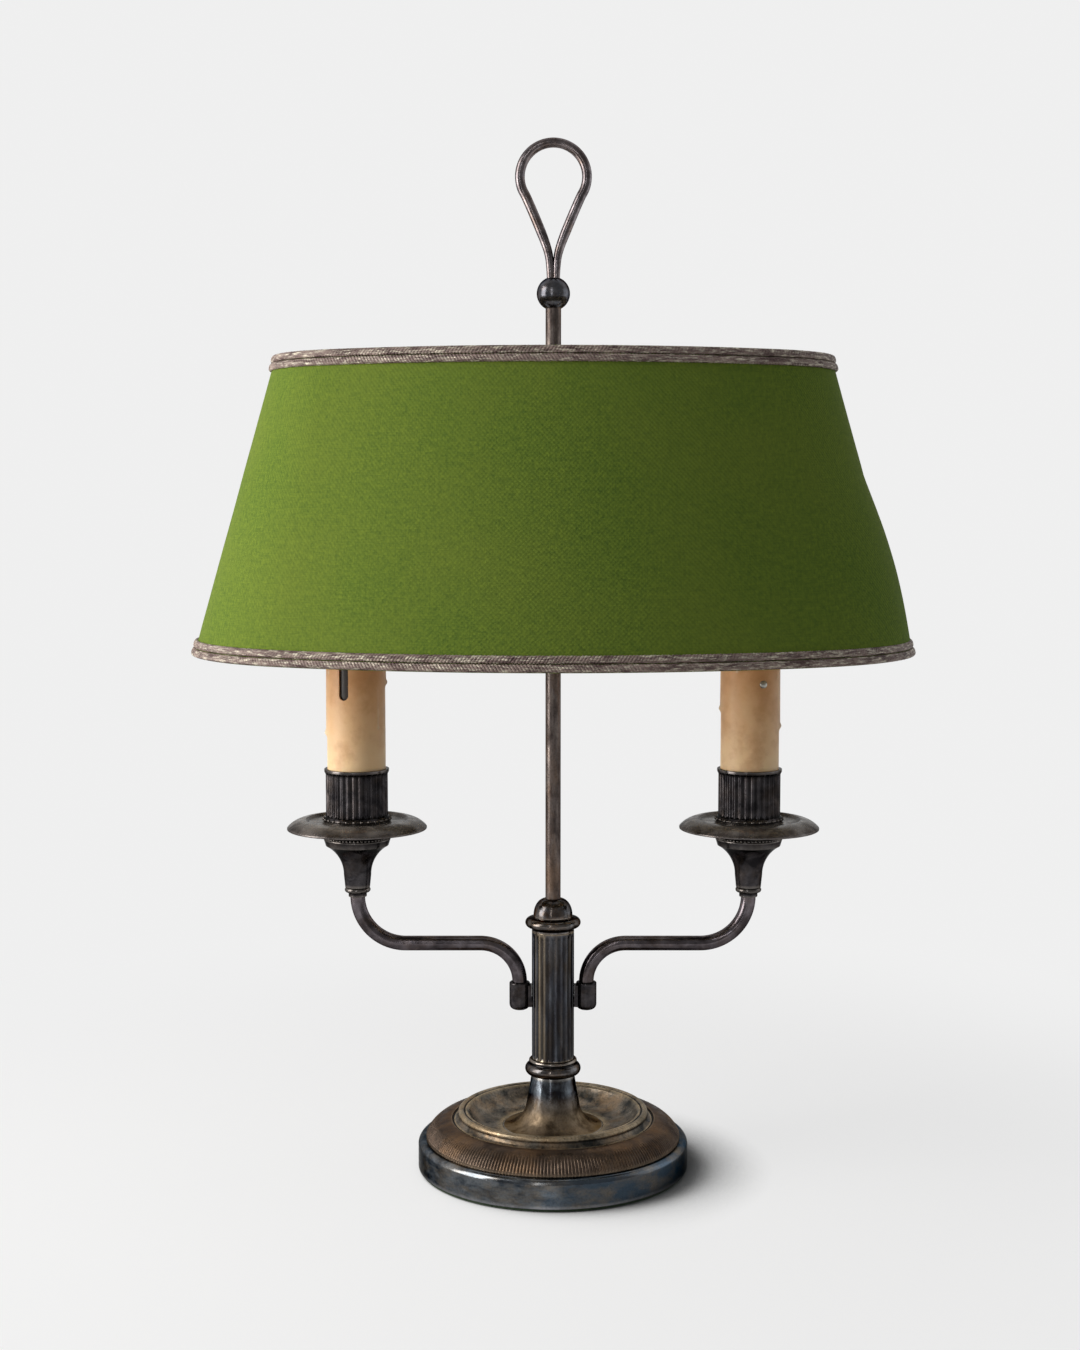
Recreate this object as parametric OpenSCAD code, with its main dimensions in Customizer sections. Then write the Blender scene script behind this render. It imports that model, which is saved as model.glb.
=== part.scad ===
// Two-candle bouillotte lamp: round weighted base with a counter dish, fluted column,
// two swing arms with drip pans and candle sleeves, and an oval shade that slides on
// the centre rod under a ball finial with a carrying loop.
// Z is up, the lamp stands on z = 0 and the column's axis is x = y = 0.

/* [Base] */
// Thickness of the felt pad under the base
felt_t = 1.2; // [0.8:0.1:3]
// How far the felt stays inside the foot's edge
felt_inset = 1; // [0.5:0.1:4]
// Outer radius of the foot
foot_r = 62.5; // [58:0.5:75]
// Height of the foot's wall above the felt
foot_h = 13.1; // [12:0.1:20]
// Wall of the foot
foot_wall = 2.2; // [1.2:0.1:3.5]
// Rounding of the foot's top edge
foot_edge_r = 2.8; // [1.5:0.1:3.4]
// Thickness of the foot's top flange
flange_t = 2; // [1.5:0.1:2.5]
// Radius of the hole inside the flange
flange_hole_r = 44; // [42.5:0.5:45.5]
// Radius of the boss on the ballast that carries the dish
boss_r = 20; // [17:0.5:24]
// Pocket under the ballast for the nut and washer: radius
pocket_r = 15; // [13:0.5:17]
// Pocket under the ballast: depth
pocket_h = 9; // [8:0.5:9.5]
// Width of the cord channel under the ballast
channel_w = 9; // [7:0.5:12]
// Height of the cord channel above the felt
channel_h = 8.5; // [6:0.5:9.5]

/* [Reeded ring] */
// Outer radius of the ring
ring_r = 58.8; // [56:0.2:59.4]
// Radius where the ring's rounded top begins
ring_top_r = 46.9; // [46:0.1:50]
// Height of the ring's straight outer edge
ring_edge_h = 1.5; // [1:0.1:3]
// Rise of the ring's rounded top above that edge
ring_rise = 7.2; // [5:0.1:9]
// Step down from the ring's top to the dish's seat
ring_step = 0.6; // [0.3:0.1:1.5]
// Width of that step's slope
ring_step_w = 0.4; // [0.2:0.1:0.8]

/* [Dish] */
// Outer radius of the dish's rolled lip
lip_r = 44; // [43.5:0.1:45.5]
// Radius of the rolled edge's section
lip_roll_r = 1.5; // [1:0.1:2]
// Height of the lip's centre above the dish's seat
lip_lift = 3.3; // [3:0.1:5]
// Radius at which the flat floor turns up to the lip
bowl_start_r = 28; // [26:0.5:29]
// Radius of the upturned bowl
bowl_r = 12.5; // [11.5:0.1:13]
// Angle that the bowl turns up through
bowl_turn = 62; // [55:1:64]
// Depth of the dish's floor below its seat
floor_drop = 2.9; // [2:0.1:3.5]
// Thickness of the dish
dish_t = 3; // [2:0.1:3.5]
// Width of the foot that rests on the ring
dish_seat_w = 0.8; // [0.5:0.1:1.5]
// Gap between the dish and the ring's hole
dish_gap = 0.9; // [0.3:0.1:1.4]

/* [Column] */
// Radius of the neck's flange on the dish
neck_flange_r = 23.3; // [21:0.1:25]
// Thickness of that flange
neck_flange_t = 1.5; // [1:0.1:2.5]
// Radius of the neck's flare
flare_r = 11; // [9:0.5:12]
// Lean of the neck's tapered wall above the flare
neck_lean = 10; // [5:1:12]
// Radius of the neck's top
neck_top_r = 9.9; // [9.5:0.05:11]
// Height of the neck above the dish's floor
neck_h = 24; // [18:0.5:40]
// Outer radius of the lower collar
low_collar_r = 12.9; // [12.5:0.1:15]
// Section radius of the lower collar's ring
low_ring_r = 2.8; // [2:0.1:3]
// Section radius of the small bead between that ring and the column
low_bead_r = 0.9; // [0.6:0.1:1]
// Height of the lower collar
low_collar_h = 7.5; // [6.5:0.1:12]
// Outer radius of the column
column_r = 9.75; // [9.5:0.05:10]
// Wall of the column between flutes
column_wall = 2.25; // [1.8:0.05:2.6]
// Height of the column
column_h = 60; // [45:1:90]
// Number of flutes round the column
flutes = 22; // [14:2:26]
// Section radius of a flute
flute_r = 1; // [0.8:0.05:1.2]
// Depth of a flute
flute_depth = 0.5; // [0.2:0.05:0.7]
// Length of the spigots that centre the collars in the column
spigot_h = 3; // [2:0.5:6]
// Outer radius of the upper collar
top_collar_r = 12.8; // [12:0.1:14]
// Section radius of the upper collar's ring
top_ring_r = 2.2; // [1.2:0.1:2.4]
// Height of the fillet below the upper collar's ring
fillet_h = 1.7; // [1:0.1:5]
// Height of the land above the upper collar's ring
land_h = 0.4; // [0.3:0.1:2]
// Outer radius of the dome cap
dome_r = 9; // [8.5:0.1:9.8]
// Height of the dome cap
dome_h = 8.5; // [8:0.1:14]
// Height of the dome's straight edge
dome_edge_h = 0.8; // [0.5:0.1:2]

/* [Tie tube and rod] */
// Radius of the threaded tie tube
tie_r = 5; // [4.6:0.1:5.4]
// Wall of the tie tube
tie_wall = 1.5; // [1:0.1:1.7]
// Clearance of the tie tube's bottom above the felt
tie_lift = 1.8; // [1:0.1:2.5]
// Depth of the tie tube's seat in the dome cap
tie_seat = 3; // [2:0.1:4]
// Thickness of the dome cap's web above the tie tube
dome_web = 1; // [0.8:0.1:1.5]
// Thickness of the washer over the nut
washer_t = 1.6; // [1:0.1:2]
// Radius of that washer
washer_r = 12; // [10.5:0.1:12.5]
// Height of the base nut
nut_h = 5; // [3.5:0.1:5]
// Corner radius of the base nut
nut_r = 9.2; // [8.5:0.1:10]
// Radius of the centre rod
rod_r = 3.5; // [3:0.1:4]
// Height of the centre rod's free length, from the dome cap to the ball
rod_h = 268.4; // [255:0.2:300]

/* [Cord inlet] */
// Bore radius of the cord bushing
inlet_r = 3.2; // [2.5:0.1:3.4]
// Outer radius of the bushing's barrel
bushing_r = 4.4; // [4.2:0.1:4.6]
// Length of the bushing
bushing_l = 7; // [5:0.5:9]
// Radius of the bushing's outer flange
bushing_flange_r = 5.4; // [5:0.1:5.8]
// Thickness of that flange
bushing_flange_t = 1.2; // [0.8:0.1:2]
// Height of the inlet above the felt
inlet_z = 5.9; // [5.5:0.1:6.2]

/* [Arm sockets] */
// Distance of an arm's swing axis from the column's axis
socket_x = 15.4; // [15.2:0.1:18]
// Outer radius of a socket
socket_r = 4.75; // [4.5:0.05:5]
// Height of a socket
socket_h = 13; // [11:0.5:18]
// Height of the sockets' bottoms above the column's bottom
socket_lift = 23; // [10:1:45]
// Rounding of a socket's bottom
socket_round = 2.6; // [1:0.1:3]
// Rounding of a socket's mouth
mouth_round = 0.7; // [0.3:0.1:0.9]
// Depth that an arm's end reaches into its socket
arm_depth = 8; // [6:0.5:9]
// Thickness of a socket's floor
socket_floor = 1.4; // [1:0.1:1.6]
// Width of the neck that joins a socket to the column
socket_neck_w = 5.2; // [4:0.1:6]
// Height of that neck
socket_neck_h = 10; // [8:0.1:10.5]
// Radius of the stem that is brazed into the column
stem_r = 2.4; // [2:0.1:2.6]
// Radius of the wire port through the stem
port_r = 1.4; // [1:0.1:1.6]
// Height of the stem's axis above the socket's bottom
stem_z = 3.4; // [3.2:0.1:4]

/* [Arms] */
// Distance of a candle's axis from the column's axis
candle_x = 90; // [80:1:110]
// Outer radius of the arm tube
arm_r = 3.4; // [3:0.1:3.5]
// Wall of the arm tube
arm_wall = 1.1; // [0.8:0.1:1.4]
// Bend radius at the column
inner_bend = 18; // [14:1:22]
// Bend radius below the candle
outer_bend = 22; // [16:1:26]
// Length of the arm's end inside the candle stem
arm_insert = 6; // [4:0.5:6.5]

/* [Candle stems] */
// Radius of the stem's lowest ring
stem_foot_r = 4.2; // [4:0.1:4.6]
// Height of the stem's lowest ring
stem_foot_h = 2; // [1.5:0.1:3]
// Radius of the bead above it
stem_bead_r = 5.95; // [5.5:0.05:6.5]
// Section radius of that bead
bead_r = 1.2; // [0.9:0.1:1.4]
// Radius of the stem at its waist
waist_r = 5.7; // [5.2:0.1:6]
// Radius of the stem where the flare begins
flare_start_r = 6.3; // [6:0.1:7.2]
// Height of the waist
waist_h = 5.9; // [5:0.1:8]
// Radius of the stem's flare
stem_flare = 15.5; // [13:0.5:17]
// Height of the plain band above the flare
stem_band_h = 2.5; // [1:0.1:3]
// Radius of the stem's top ring
stem_top_r = 15.3; // [14:0.1:16]
// Section radius of that ring
stem_ring_r = 0.9; // [0.6:0.1:1.1]
// Radius of the stem's seat under the drip pan
seat_r = 19; // [16:0.5:20]
// Height from the stem's top ring to that seat
seat_h = 6.1; // [5:0.1:9]

/* [Drip pans and candle cups] */
// Radius of a drip pan
pan_r = 32; // [29:0.5:38]
// Thickness of a drip pan
pan_t = 1.2; // [1:0.1:1.6]
// Radius of the ridge round the pan's recess
ridge_r = 23.5; // [21:0.5:26]
// Height of the ridge above the recess
ridge_h = 1.2; // [0.8:0.1:2]
// Width of the ridge's inner slope
ridge_w = 1.6; // [1:0.1:3]
// Drop from the ridge to the pan's edge
rim_drop = 3.9; // [3:0.1:6]
// Height of the pan's outer edge
rim_edge_h = 0.8; // [0.5:0.1:1.2]
// Outer radius of a candle cup
cup_r = 14.2; // [14.1:0.05:15]
// Height of a candle cup
cup_h = 24.4; // [18:0.1:32]
// Thickness of a cup's floor
cup_floor = 2.5; // [2:0.1:4]
// Radius of the cup's foot
cup_foot_r = 15.3; // [15.1:0.1:17]
// Height of the cup's foot
cup_foot_h = 1.4; // [1:0.1:2]
// How far the lip stands out from the cup
cup_lip = 0.6; // [0.3:0.1:1]
// Height of the lip
cup_lip_h = 1.2; // [0.8:0.1:2]
// Number of flutes round a cup
cup_flutes = 32; // [24:2:36]
// Section radius of a cup's flute
cup_flute_r = 1.2; // [0.9:0.05:1.3]
// Depth of a cup's flute
cup_flute_depth = 0.4; // [0.15:0.05:0.4]

/* [Candles] */
// Outer radius of a candle sleeve
sleeve_r = 13.3; // [13.1:0.05:13.4]
// Wall of a candle sleeve
sleeve_wall = 1; // [0.8:0.05:1.1]
// Length of a candle sleeve
sleeve_h = 85; // [75:1:100]
// Width of the slot in the left sleeve
slot_w = 4.6; // [3:0.1:6]
// Length of that slot, from the sleeve's top
slot_h = 28.5; // [15:0.5:40]
// Angle of the slot and the sleeve screw from the lamp's front
slot_turn = 20; // [0:1:60]
// Height of the sleeve screw above the cup's floor
screw_z = 61.5; // [60:0.5:66]
// Radius of the sleeve screw's shank
screw_r = 0.9; // [0.7:0.1:1.2]
// Radius of the sleeve screw's head
screw_head_r = 1.8; // [1.4:0.1:2.2]
// Height of the sleeve screw's head
screw_head_h = 1.2; // [0.8:0.1:1.8]
// How far the sleeve screw reaches into the lampholder
screw_reach = 2; // [1:0.5:3.5]
// Corner radius of the nut in the cup
cup_nut_r = 8.2; // [7.5:0.1:9]
// Height of the nut in the cup
cup_nut_h = 4; // [3:0.1:5]
// Wall of the threaded nipple
nipple_wall = 1.8; // [1:0.1:2]
// Depth of the nipple's seat in the candle stem
nipple_seat = 8; // [6:0.5:10]
// Radius of the lampholder's leg
leg_r = 7; // [6.5:0.1:9]
// Depth of the nipple's seat in the lampholder
leg_seat = 7; // [5:0.5:10]
// Height of the lampholder's insulated head
head_h = 34; // [30:0.5:38]
// Gap between the lampholder's head and the sleeve
head_gap = 0.15; // [0.1:0.05:0.3]
// Depth of the bulb's screw socket
bulb_seat = 21; // [18:0.5:26]
// How far the lampholder's head stays below the sleeve's top
head_drop = 0.5; // [0:0.1:3]

/* [Bulbs] */
// Radius of the bulb's screw cap
cap_r = 7; // [6.8:0.1:7.2]
// Length of the bulb's screw cap
cap_h = 21; // [18:0.5:24]
// Largest radius of the candle bulb
bulb_r = 17.5; // [15:0.5:17.5]
// Height of the bulb's glass above its cap
bulb_h = 76; // [66:1:78]
// Thickness of the bulb's glass
glass_t = 0.8; // [0.6:0.1:1]

/* [Shade] */
// How much longer than deep the shade's oval is, each way from its middle
shade_longer = 54; // [44:1:60]
// Half angle of the wide arcs at the oval's front and back
side_turn = 28; // [22:1:34]
// Half depth of the cover at its top edge
shade_top_r = 70.4; // [69:0.2:80]
// Half depth of the cover at its bottom edge
shade_bottom_r = 108.3; // [105:0.5:120]
// Height of the shade
shade_h = 133.2; // [120:0.2:150]
// Thickness of the cloth cover
cover_t = 0.8; // [0.5:0.1:1.2]
// Thickness of the lining
lining_t = 0.5; // [0.4:0.1:1]
// Height of the braid at the shade's edges
trim_h = 7; // [5:0.1:10]
// Thickness of the braid
trim_t = 0.9; // [0.7:0.1:1.5]
// Depth of the groove between the braid's two cords
trim_groove = 0.35; // [0.2:0.05:0.5]
// Radius of the frame's wire
wire_r = 1.5; // [1.5:0.1:2]
// Radius of the spider's spokes
spoke_r = 1.3; // [1:0.1:1.4]
// Distance of the wire rings' centres from the shade's edges
ring_inset = 2.2; // [2.1:0.1:4]
// Distance of the shade's top edge below the ball's underside
shade_drop = 21.5; // [20.5:0.5:30]

/* [Shade carrier] */
// Wall of the carrier's neck round the rod
carrier_wall = 1.95; // [1.5:0.05:2.5]
// Radius of the carrier's boss below the spider
carrier_r = 7; // [6.5:0.1:8]
// Height of the carrier's boss
carrier_h = 14; // [11:0.5:18]
// Radius of the shoulder and the ring nut that hold the spider's hub
shoulder_r = 8.6; // [8:0.1:10]
// Thickness of the shoulder
shoulder_t = 2; // [1.5:0.1:3]
// Thickness of the ring nut
ring_nut_t = 2.3; // [1.8:0.1:2.6]
// Outer radius of the spider's hub
hub_r = 8; // [7.5:0.1:10]
// Height of the spider's hub
hub_h = 5; // [4:0.1:5]
// Radius of the thumbscrew's shank
thumb_r = 1.6; // [1.2:0.1:2]
// Distance from the rod's axis to the thumbscrew's head
thumb_reach = 13; // [12:0.5:16]
// Radius of the thumbscrew's head
thumb_head_r = 4.6; // [4:0.1:5.5]
// Thickness of the thumbscrew's head
thumb_head_t = 5; // [3:0.5:7]

/* [Finial] */
// Radius of the ball
ball_r = 7.5; // [7:0.1:9]
// Radius of the loop's wire
loop_wire_r = 2.2; // [1.8:0.1:2.6]
// Radius of the loop's centre line
loop_r = 15; // [12:0.5:18]
// Height of the loop's centre above the ball's centre
loop_lift = 51.5; // [48:0.5:60]
// Height above the ball's centre where the loop's legs meet
fork_lift = 14; // [12:0.5:15]
// Radius of the loop's stem
loop_stem_r = 3; // [2.6:0.1:3.4]
// Depth of the rod's and the stem's seats in the ball
ball_seat = 6; // [5:0.1:6.4]

/* [Hidden] */
$fn = 96;
// clearances: turning and sliding fits, screwed or pushed fits, and glued layers
run_gap = 0.05;
fit_gap = 0.05;
glue_gap = 0.05;
air = 0.3;
past = 1;
// how far a wire runs into the piece it is welded to, and how much slimmer it is there
weld = 1;
weld_step = 0.05;
// the gap angle at the shade's seams, the length of the ties across them, and how far in from
// each face of a section its tie lies, as a share of the section
seam_gap = 0.02;
seam_l = 3;
seam_share = 0.3;

z_felt = felt_t;
z_foot = z_felt + foot_h;
z_ring = z_foot + ring_edge_h + ring_rise;
z_seat = z_ring - ring_step;
z_floor = z_seat - floor_drop;
z_recess = z_floor - neck_flange_t;
z_dish = z_floor - dish_t;
z_neck = z_floor + neck_h;
z_column = z_neck + low_collar_h;
z_collar = z_column + column_h;
z_top_ring = z_collar + fillet_h + top_ring_r;
z_dome = z_top_ring + top_ring_r + land_h;
z_rod = z_dome + tie_seat + dome_web;
z_rod_free = z_dome + dome_h;
z_ball = z_rod_free + rod_h + sqrt(ball_r * ball_r - rod_r * rod_r);
z_pocket = z_felt + pocket_h;
tie_hole_r = tie_r + fit_gap;
inner_r = column_r - column_wall;
lip_cx = lip_r - lip_roll_r;
bowl_cz = z_floor + bowl_r;
bowl_out = sqrt(pow(bowl_r + dish_t, 2) - pow(bowl_cz - z_seat, 2));
ring_hole_r = bowl_start_r + bowl_out + dish_gap;

z_socket = z_column + socket_lift;
z_arm = z_socket + socket_h - arm_depth;
z_bend = z_socket + socket_h;
z_level = z_bend + inner_bend;
z_stem = z_level + outer_bend;
z_bead = z_stem + stem_foot_h + bead_r;
z_waist = z_bead + bead_r;
z_flare = z_waist + waist_h;
stem_turn = acos((flare_start_r + stem_flare - stem_top_r + stem_ring_r) / stem_flare);
z_stem_ring = z_flare + stem_flare * sin(stem_turn) + stem_band_h + stem_ring_r / 2;
z_pan = z_stem_ring + stem_ring_r + seat_h;
z_cup = z_pan + pan_t;
z_cup_floor = z_cup + cup_floor;
z_cup_top = z_cup + cup_h;
cup_bore_r = sleeve_r + fit_gap * 2;
z_nipple = z_pan - nipple_seat;
z_leg = z_cup_floor + cup_nut_h + air;
z_nipple_top = z_leg + leg_seat;
z_sleeve_top = z_cup_floor + sleeve_h;
z_head_top = z_sleeve_top - head_drop;
z_cap = z_head_top - bulb_seat + air;
z_glass = z_cap + cap_h;
head_r = sleeve_r - sleeve_wall - head_gap;

z_ball_under = z_ball - sqrt(ball_r * ball_r - rod_r * rod_r);
z_shade_top = z_ball_under - shade_drop;
z_shade = z_shade_top - shade_h;
shade_slope = (shade_bottom_r - shade_top_r) / shade_h;
side_centre = shade_longer / (1 + tan(side_turn) - 1 / cos(side_turn));
end_centre = side_centre * tan(side_turn);
z_wire = z_shade_top - ring_inset;
z_hub = z_wire - hub_h / 2;
z_shoulder = z_hub - run_gap;
z_ring_nut = z_hub + hub_h + run_gap;
carrier_neck_r = rod_r + run_gap + carrier_wall;
z_carrier = z_shoulder - shoulder_t - carrier_h;
z_thumb = z_carrier + carrier_h / 2;

brass = "#6b5f52";
dark_brass = "#3d3632";
steel_blue = "#6f7b86";
bronze = "#6e5c4a";
iron = "#4a4a4c";
cream = "#d9b27c";
green = "#5f7a2c";
braid = "#a8957a";

SIDES = ["left", "right"];
ARM_PIECES = ["arm_tube", "candle_stem", "drip_pan", "candle_cup", "nipple", "cup_nut",
              "lampholder", "candle_sleeve", "bulb_cap", "bulb_glass"];

// ---- shared shapes ----

// points of an arc round (x, y) from angle a0 to a1
function arc(x, y, r, a0, a1, steps = 8) =
    [for (i = [0 : steps]) let (a = a0 + (a1 - a0) * i / steps) [x + r * cos(a), y + r * sin(a)]];

// radius of an arc that is level at one end and falls by h over a width w
function ovolo_r(w, h) = (w * w + h * h) / (2 * h);

// half depth of the shade's outer face at height z
function shade_r(z) = shade_bottom_r - (z - z_shade) * shade_slope;

module turned(points) {
    rotate_extrude() polygon(points);
}

module tube(z0, z1, outer, inner) {
    translate([0, 0, z0]) difference() {
        cylinder(h = z1 - z0, r = outer);
        translate([0, 0, -past]) cylinder(h = z1 - z0 + 2 * past, r = inner);
    }
}

module hole(z0, z1, r) {
    translate([0, 0, z0]) cylinder(h = z1 - z0, r = r);
}

module hex_nut(z0, h, corner_r, bore_r) {
    translate([0, 0, z0]) difference() {
        cylinder(h = h, r = corner_r, $fn = 6);
        translate([0, 0, -past]) cylinder(h = h + 2 * past, r = bore_r);
    }
}

// a cylinder along +X from x0 to x1 at height z
module along_x(x0, x1, z, r) {
    translate([x0, 0, z]) rotate([0, 90, 0]) cylinder(h = x1 - x0, r = r);
}

// a cylinder along +Y from y0 to y1 at height z
module along_y(y0, y1, z, r) {
    translate([0, y0, z]) rotate([-90, 0, 0]) cylinder(h = y1 - y0, r = r);
}

// A flat section swept round the shade's oval: two wide arcs at the front and back run
// smoothly into two close ones at the ends. The first child is the section where it crosses
// the oval's half depth. The second lies inside it and ties the arcs together at each seam.
module oval() {
    for (turn = [0, 180]) rotate([0, 0, turn]) {
        translate([end_centre, 0, 0]) {
            rotate([0, 0, side_turn + seam_gap - 90])
                rotate_extrude(angle = 180 - 2 * (side_turn + seam_gap))
                    translate([shade_longer - end_centre, 0]) children(0);
            for (side = [-1, 1]) rotate([0, 0, side * (90 - side_turn)])
                translate([shade_longer - end_centre, seam_l / 2, 0]) rotate([90, 0, 0])
                    linear_extrude(seam_l) children(1);
        }
        translate([0, -side_centre, 0]) rotate([0, 0, 90 - side_turn])
            rotate_extrude(angle = 2 * side_turn) translate([side_centre, 0]) children(0);
    }
}

// the section between two depths under the shade's outer face
module wall_section(z0, z1, near, far) {
    polygon([[shade_r(z0) - far, z0], [shade_r(z0) - near, z0],
             [shade_r(z1) - near, z1], [shade_r(z1) - far, z1]]);
}

// the wall between two depths under the shade's outer face
module oval_wall(z0, z1, near, far) {
    inset = seam_share * (far - near);
    oval() {
        wall_section(z0, z1, near, far);
        wall_section(z0 + inset, z1 - inset, near + inset, far - inset);
    }
}

// a round wire bent to the shade's oval
module oval_wire(reach, z) {
    oval() {
        translate([reach, z]) circle(r = wire_r);
        translate([reach, z]) circle(r = (1 - seam_share) * wire_r);
    }
}

// ---- base ----

module felt_pad() {
    color("#2f3a2c") hole(0, z_felt, foot_r - felt_inset);
}

module base_foot() {
    color(steel_blue) difference() {
        turned(concat(
            [[foot_r - foot_wall, z_felt], [foot_r, z_felt]],
            arc(foot_r - foot_edge_r, z_foot - foot_edge_r, foot_edge_r, 0, 90),
            [[flange_hole_r, z_foot], [flange_hole_r, z_foot - flange_t],
             [foot_r - foot_wall, z_foot - flange_t]]));
        along_y(foot_r - foot_wall - past, foot_r + past, z_felt + inlet_z, bushing_r + fit_gap);
    }
}

module base_ballast() {
    color(iron) difference() {
        union() {
            hole(z_felt, z_foot - flange_t, foot_r - foot_wall - air);
            hole(z_felt, z_dish, boss_r);
        }
        hole(z_felt - past, z_pocket, pocket_r);
        hole(z_felt - past, z_dish + past, tie_hole_r);
        translate([-channel_w / 2, 0, z_felt - past]) cube([channel_w, foot_r, channel_h + past]);
        along_y(foot_r - bushing_l - air, foot_r, z_felt + inlet_z, bushing_r + air);
    }
}

module base_washer() {
    color(brass) tube(z_pocket - washer_t, z_pocket, washer_r, tie_hole_r);
}

module base_nut() {
    color(brass) hex_nut(z_pocket - washer_t - nut_h, nut_h, nut_r, tie_hole_r);
}

module cord_bushing() {
    color("#1c1c1c") difference() {
        union() {
            along_y(foot_r + glue_gap + bushing_flange_t - bushing_l,
                    foot_r + glue_gap + bushing_flange_t, z_felt + inlet_z, bushing_r);
            along_y(foot_r + glue_gap, foot_r + glue_gap + bushing_flange_t,
                    z_felt + inlet_z, bushing_flange_r);
        }
        along_y(foot_r - bushing_l - past, foot_r + bushing_l, z_felt + inlet_z, inlet_r);
    }
}

module reeded_ring() {
    width = ring_r - ring_top_r;
    round_r = ovolo_r(width, ring_rise);
    color(bronze) turned(concat(
        [[ring_hole_r, z_foot], [ring_r, z_foot]],
        arc(ring_top_r, z_ring - round_r, round_r, acos(width / round_r), 90, 12),
        [[ring_top_r - ring_step_w, z_seat], [ring_hole_r, z_seat]]));
}

module counter_dish() {
    under_turn = asin(bowl_out / (bowl_r + dish_t));
    color(dark_brass) turned(concat(
        [[tie_hole_r, z_dish]],
        arc(bowl_start_r, bowl_cz, bowl_r + dish_t, 270, 270 + under_turn),
        [[lip_cx - lip_roll_r / 2 + dish_seat_w, z_seat]],
        arc(lip_cx, z_seat + lip_lift, lip_roll_r, -70, 120),
        arc(bowl_start_r, bowl_cz, bowl_r, 270 + bowl_turn, 270),
        [[neck_flange_r + fit_gap, z_floor], [neck_flange_r + fit_gap, z_recess],
         [tie_hole_r, z_recess]]));
}

// ---- column ----

module column_neck() {
    color(steel_blue) turned(concat(
        [[tie_hole_r, z_recess], [neck_flange_r, z_recess]],
        arc(neck_flange_r, z_floor + flare_r, flare_r, 270, 180 + neck_lean, 12),
        [[neck_top_r, z_neck], [tie_hole_r, z_neck]]));
}

module lower_collar() {
    ring_x = low_collar_r - low_ring_r;
    color(steel_blue) turned(concat(
        [[tie_hole_r, z_neck]],
        arc(ring_x, z_neck + low_ring_r, low_ring_r, -88, 70, 14),
        arc(column_r + low_bead_r / 2, z_column - low_bead_r, low_bead_r, -50, 90, 8),
        [[inner_r - fit_gap, z_column],
         [inner_r - fit_gap, z_column + spigot_h], [tie_hole_r, z_column + spigot_h]]));
}

module column() {
    color(steel_blue) difference() {
        tube(z_column, z_collar, column_r, inner_r);
        for (i = [0 : flutes - 1]) rotate([0, 0, (i + 0.5) * 360 / flutes])
            translate([column_r + flute_r - flute_depth, 0, 0])
                hole(z_column - past, z_collar + past, flute_r);
        along_x(-column_r - past, column_r + past, z_socket + stem_z, stem_r + fit_gap);
    }
}

module upper_collar() {
    ring_x = top_collar_r - top_ring_r;
    color(steel_blue) turned(concat(
        [[tie_hole_r, z_collar - spigot_h], [inner_r - fit_gap, z_collar - spigot_h],
         [inner_r - fit_gap, z_collar], [column_r, z_collar],
         [column_r, z_collar + fillet_h / 2]],
        arc(ring_x, z_top_ring, top_ring_r, -90, 90, 12),
        [[dome_r, z_dome - land_h / 2], [dome_r, z_dome], [tie_hole_r, z_dome]]));
}

module dome_cap() {
    width = dome_r - rod_r - fit_gap;
    rise = dome_h - dome_edge_h;
    color(steel_blue) turned(concat(
        [[0, z_dome + tie_seat], [tie_hole_r, z_dome + tie_seat], [tie_hole_r, z_dome],
         [dome_r, z_dome]],
        [for (a = [0 : 10 : 90])
            [dome_r - width + width * cos(a), z_dome + dome_edge_h + rise * sin(a)]],
        [[dome_r - width, z_rod], [0, z_rod]]));
}

module tie_tube() {
    color(brass) difference() {
        tube(z_felt + tie_lift, z_dome + tie_seat - air, tie_r, tie_r - tie_wall);
        along_x(-tie_r - past, tie_r + past, z_socket + stem_z, port_r);
    }
}

module centre_rod() {
    color(brass) hole(z_rod, z_ball - ball_r + ball_seat, rod_r);
}

module ball_finial() {
    color(steel_blue) difference() {
        translate([0, 0, z_ball]) sphere(r = ball_r);
        hole(z_ball - ball_r - past, z_ball - ball_r + ball_seat, rod_r + fit_gap);
        hole(z_ball + ball_r - ball_seat, z_ball + ball_r + past, loop_stem_r + fit_gap);
    }
}

// a round loop whose two straight legs run together into the stem
module finial_loop() {
    reach = loop_lift - fork_lift;
    lean = asin(loop_r / reach);
    color(steel_blue) translate([0, 0, z_ball]) {
        translate([0, 0, loop_lift]) rotate([90, 0, 0]) rotate([0, 0, -lean])
            rotate_extrude(angle = 180 + 2 * lean) translate([loop_r, 0]) circle(r = loop_wire_r);
        for (side = [-1, 1]) translate([0, 0, fork_lift]) rotate([0, side * lean, 0])
            cylinder(h = reach * cos(lean) + weld, r = loop_wire_r - weld_step);
        hole(ball_r - ball_seat, fork_lift, loop_stem_r);
        translate([0, 0, fork_lift]) sphere(r = loop_stem_r);
    }
}

// ---- arms ----

module mirrored(side) {
    mirror([side == "left" ? 1 : 0, 0, 0]) children();
}

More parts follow.
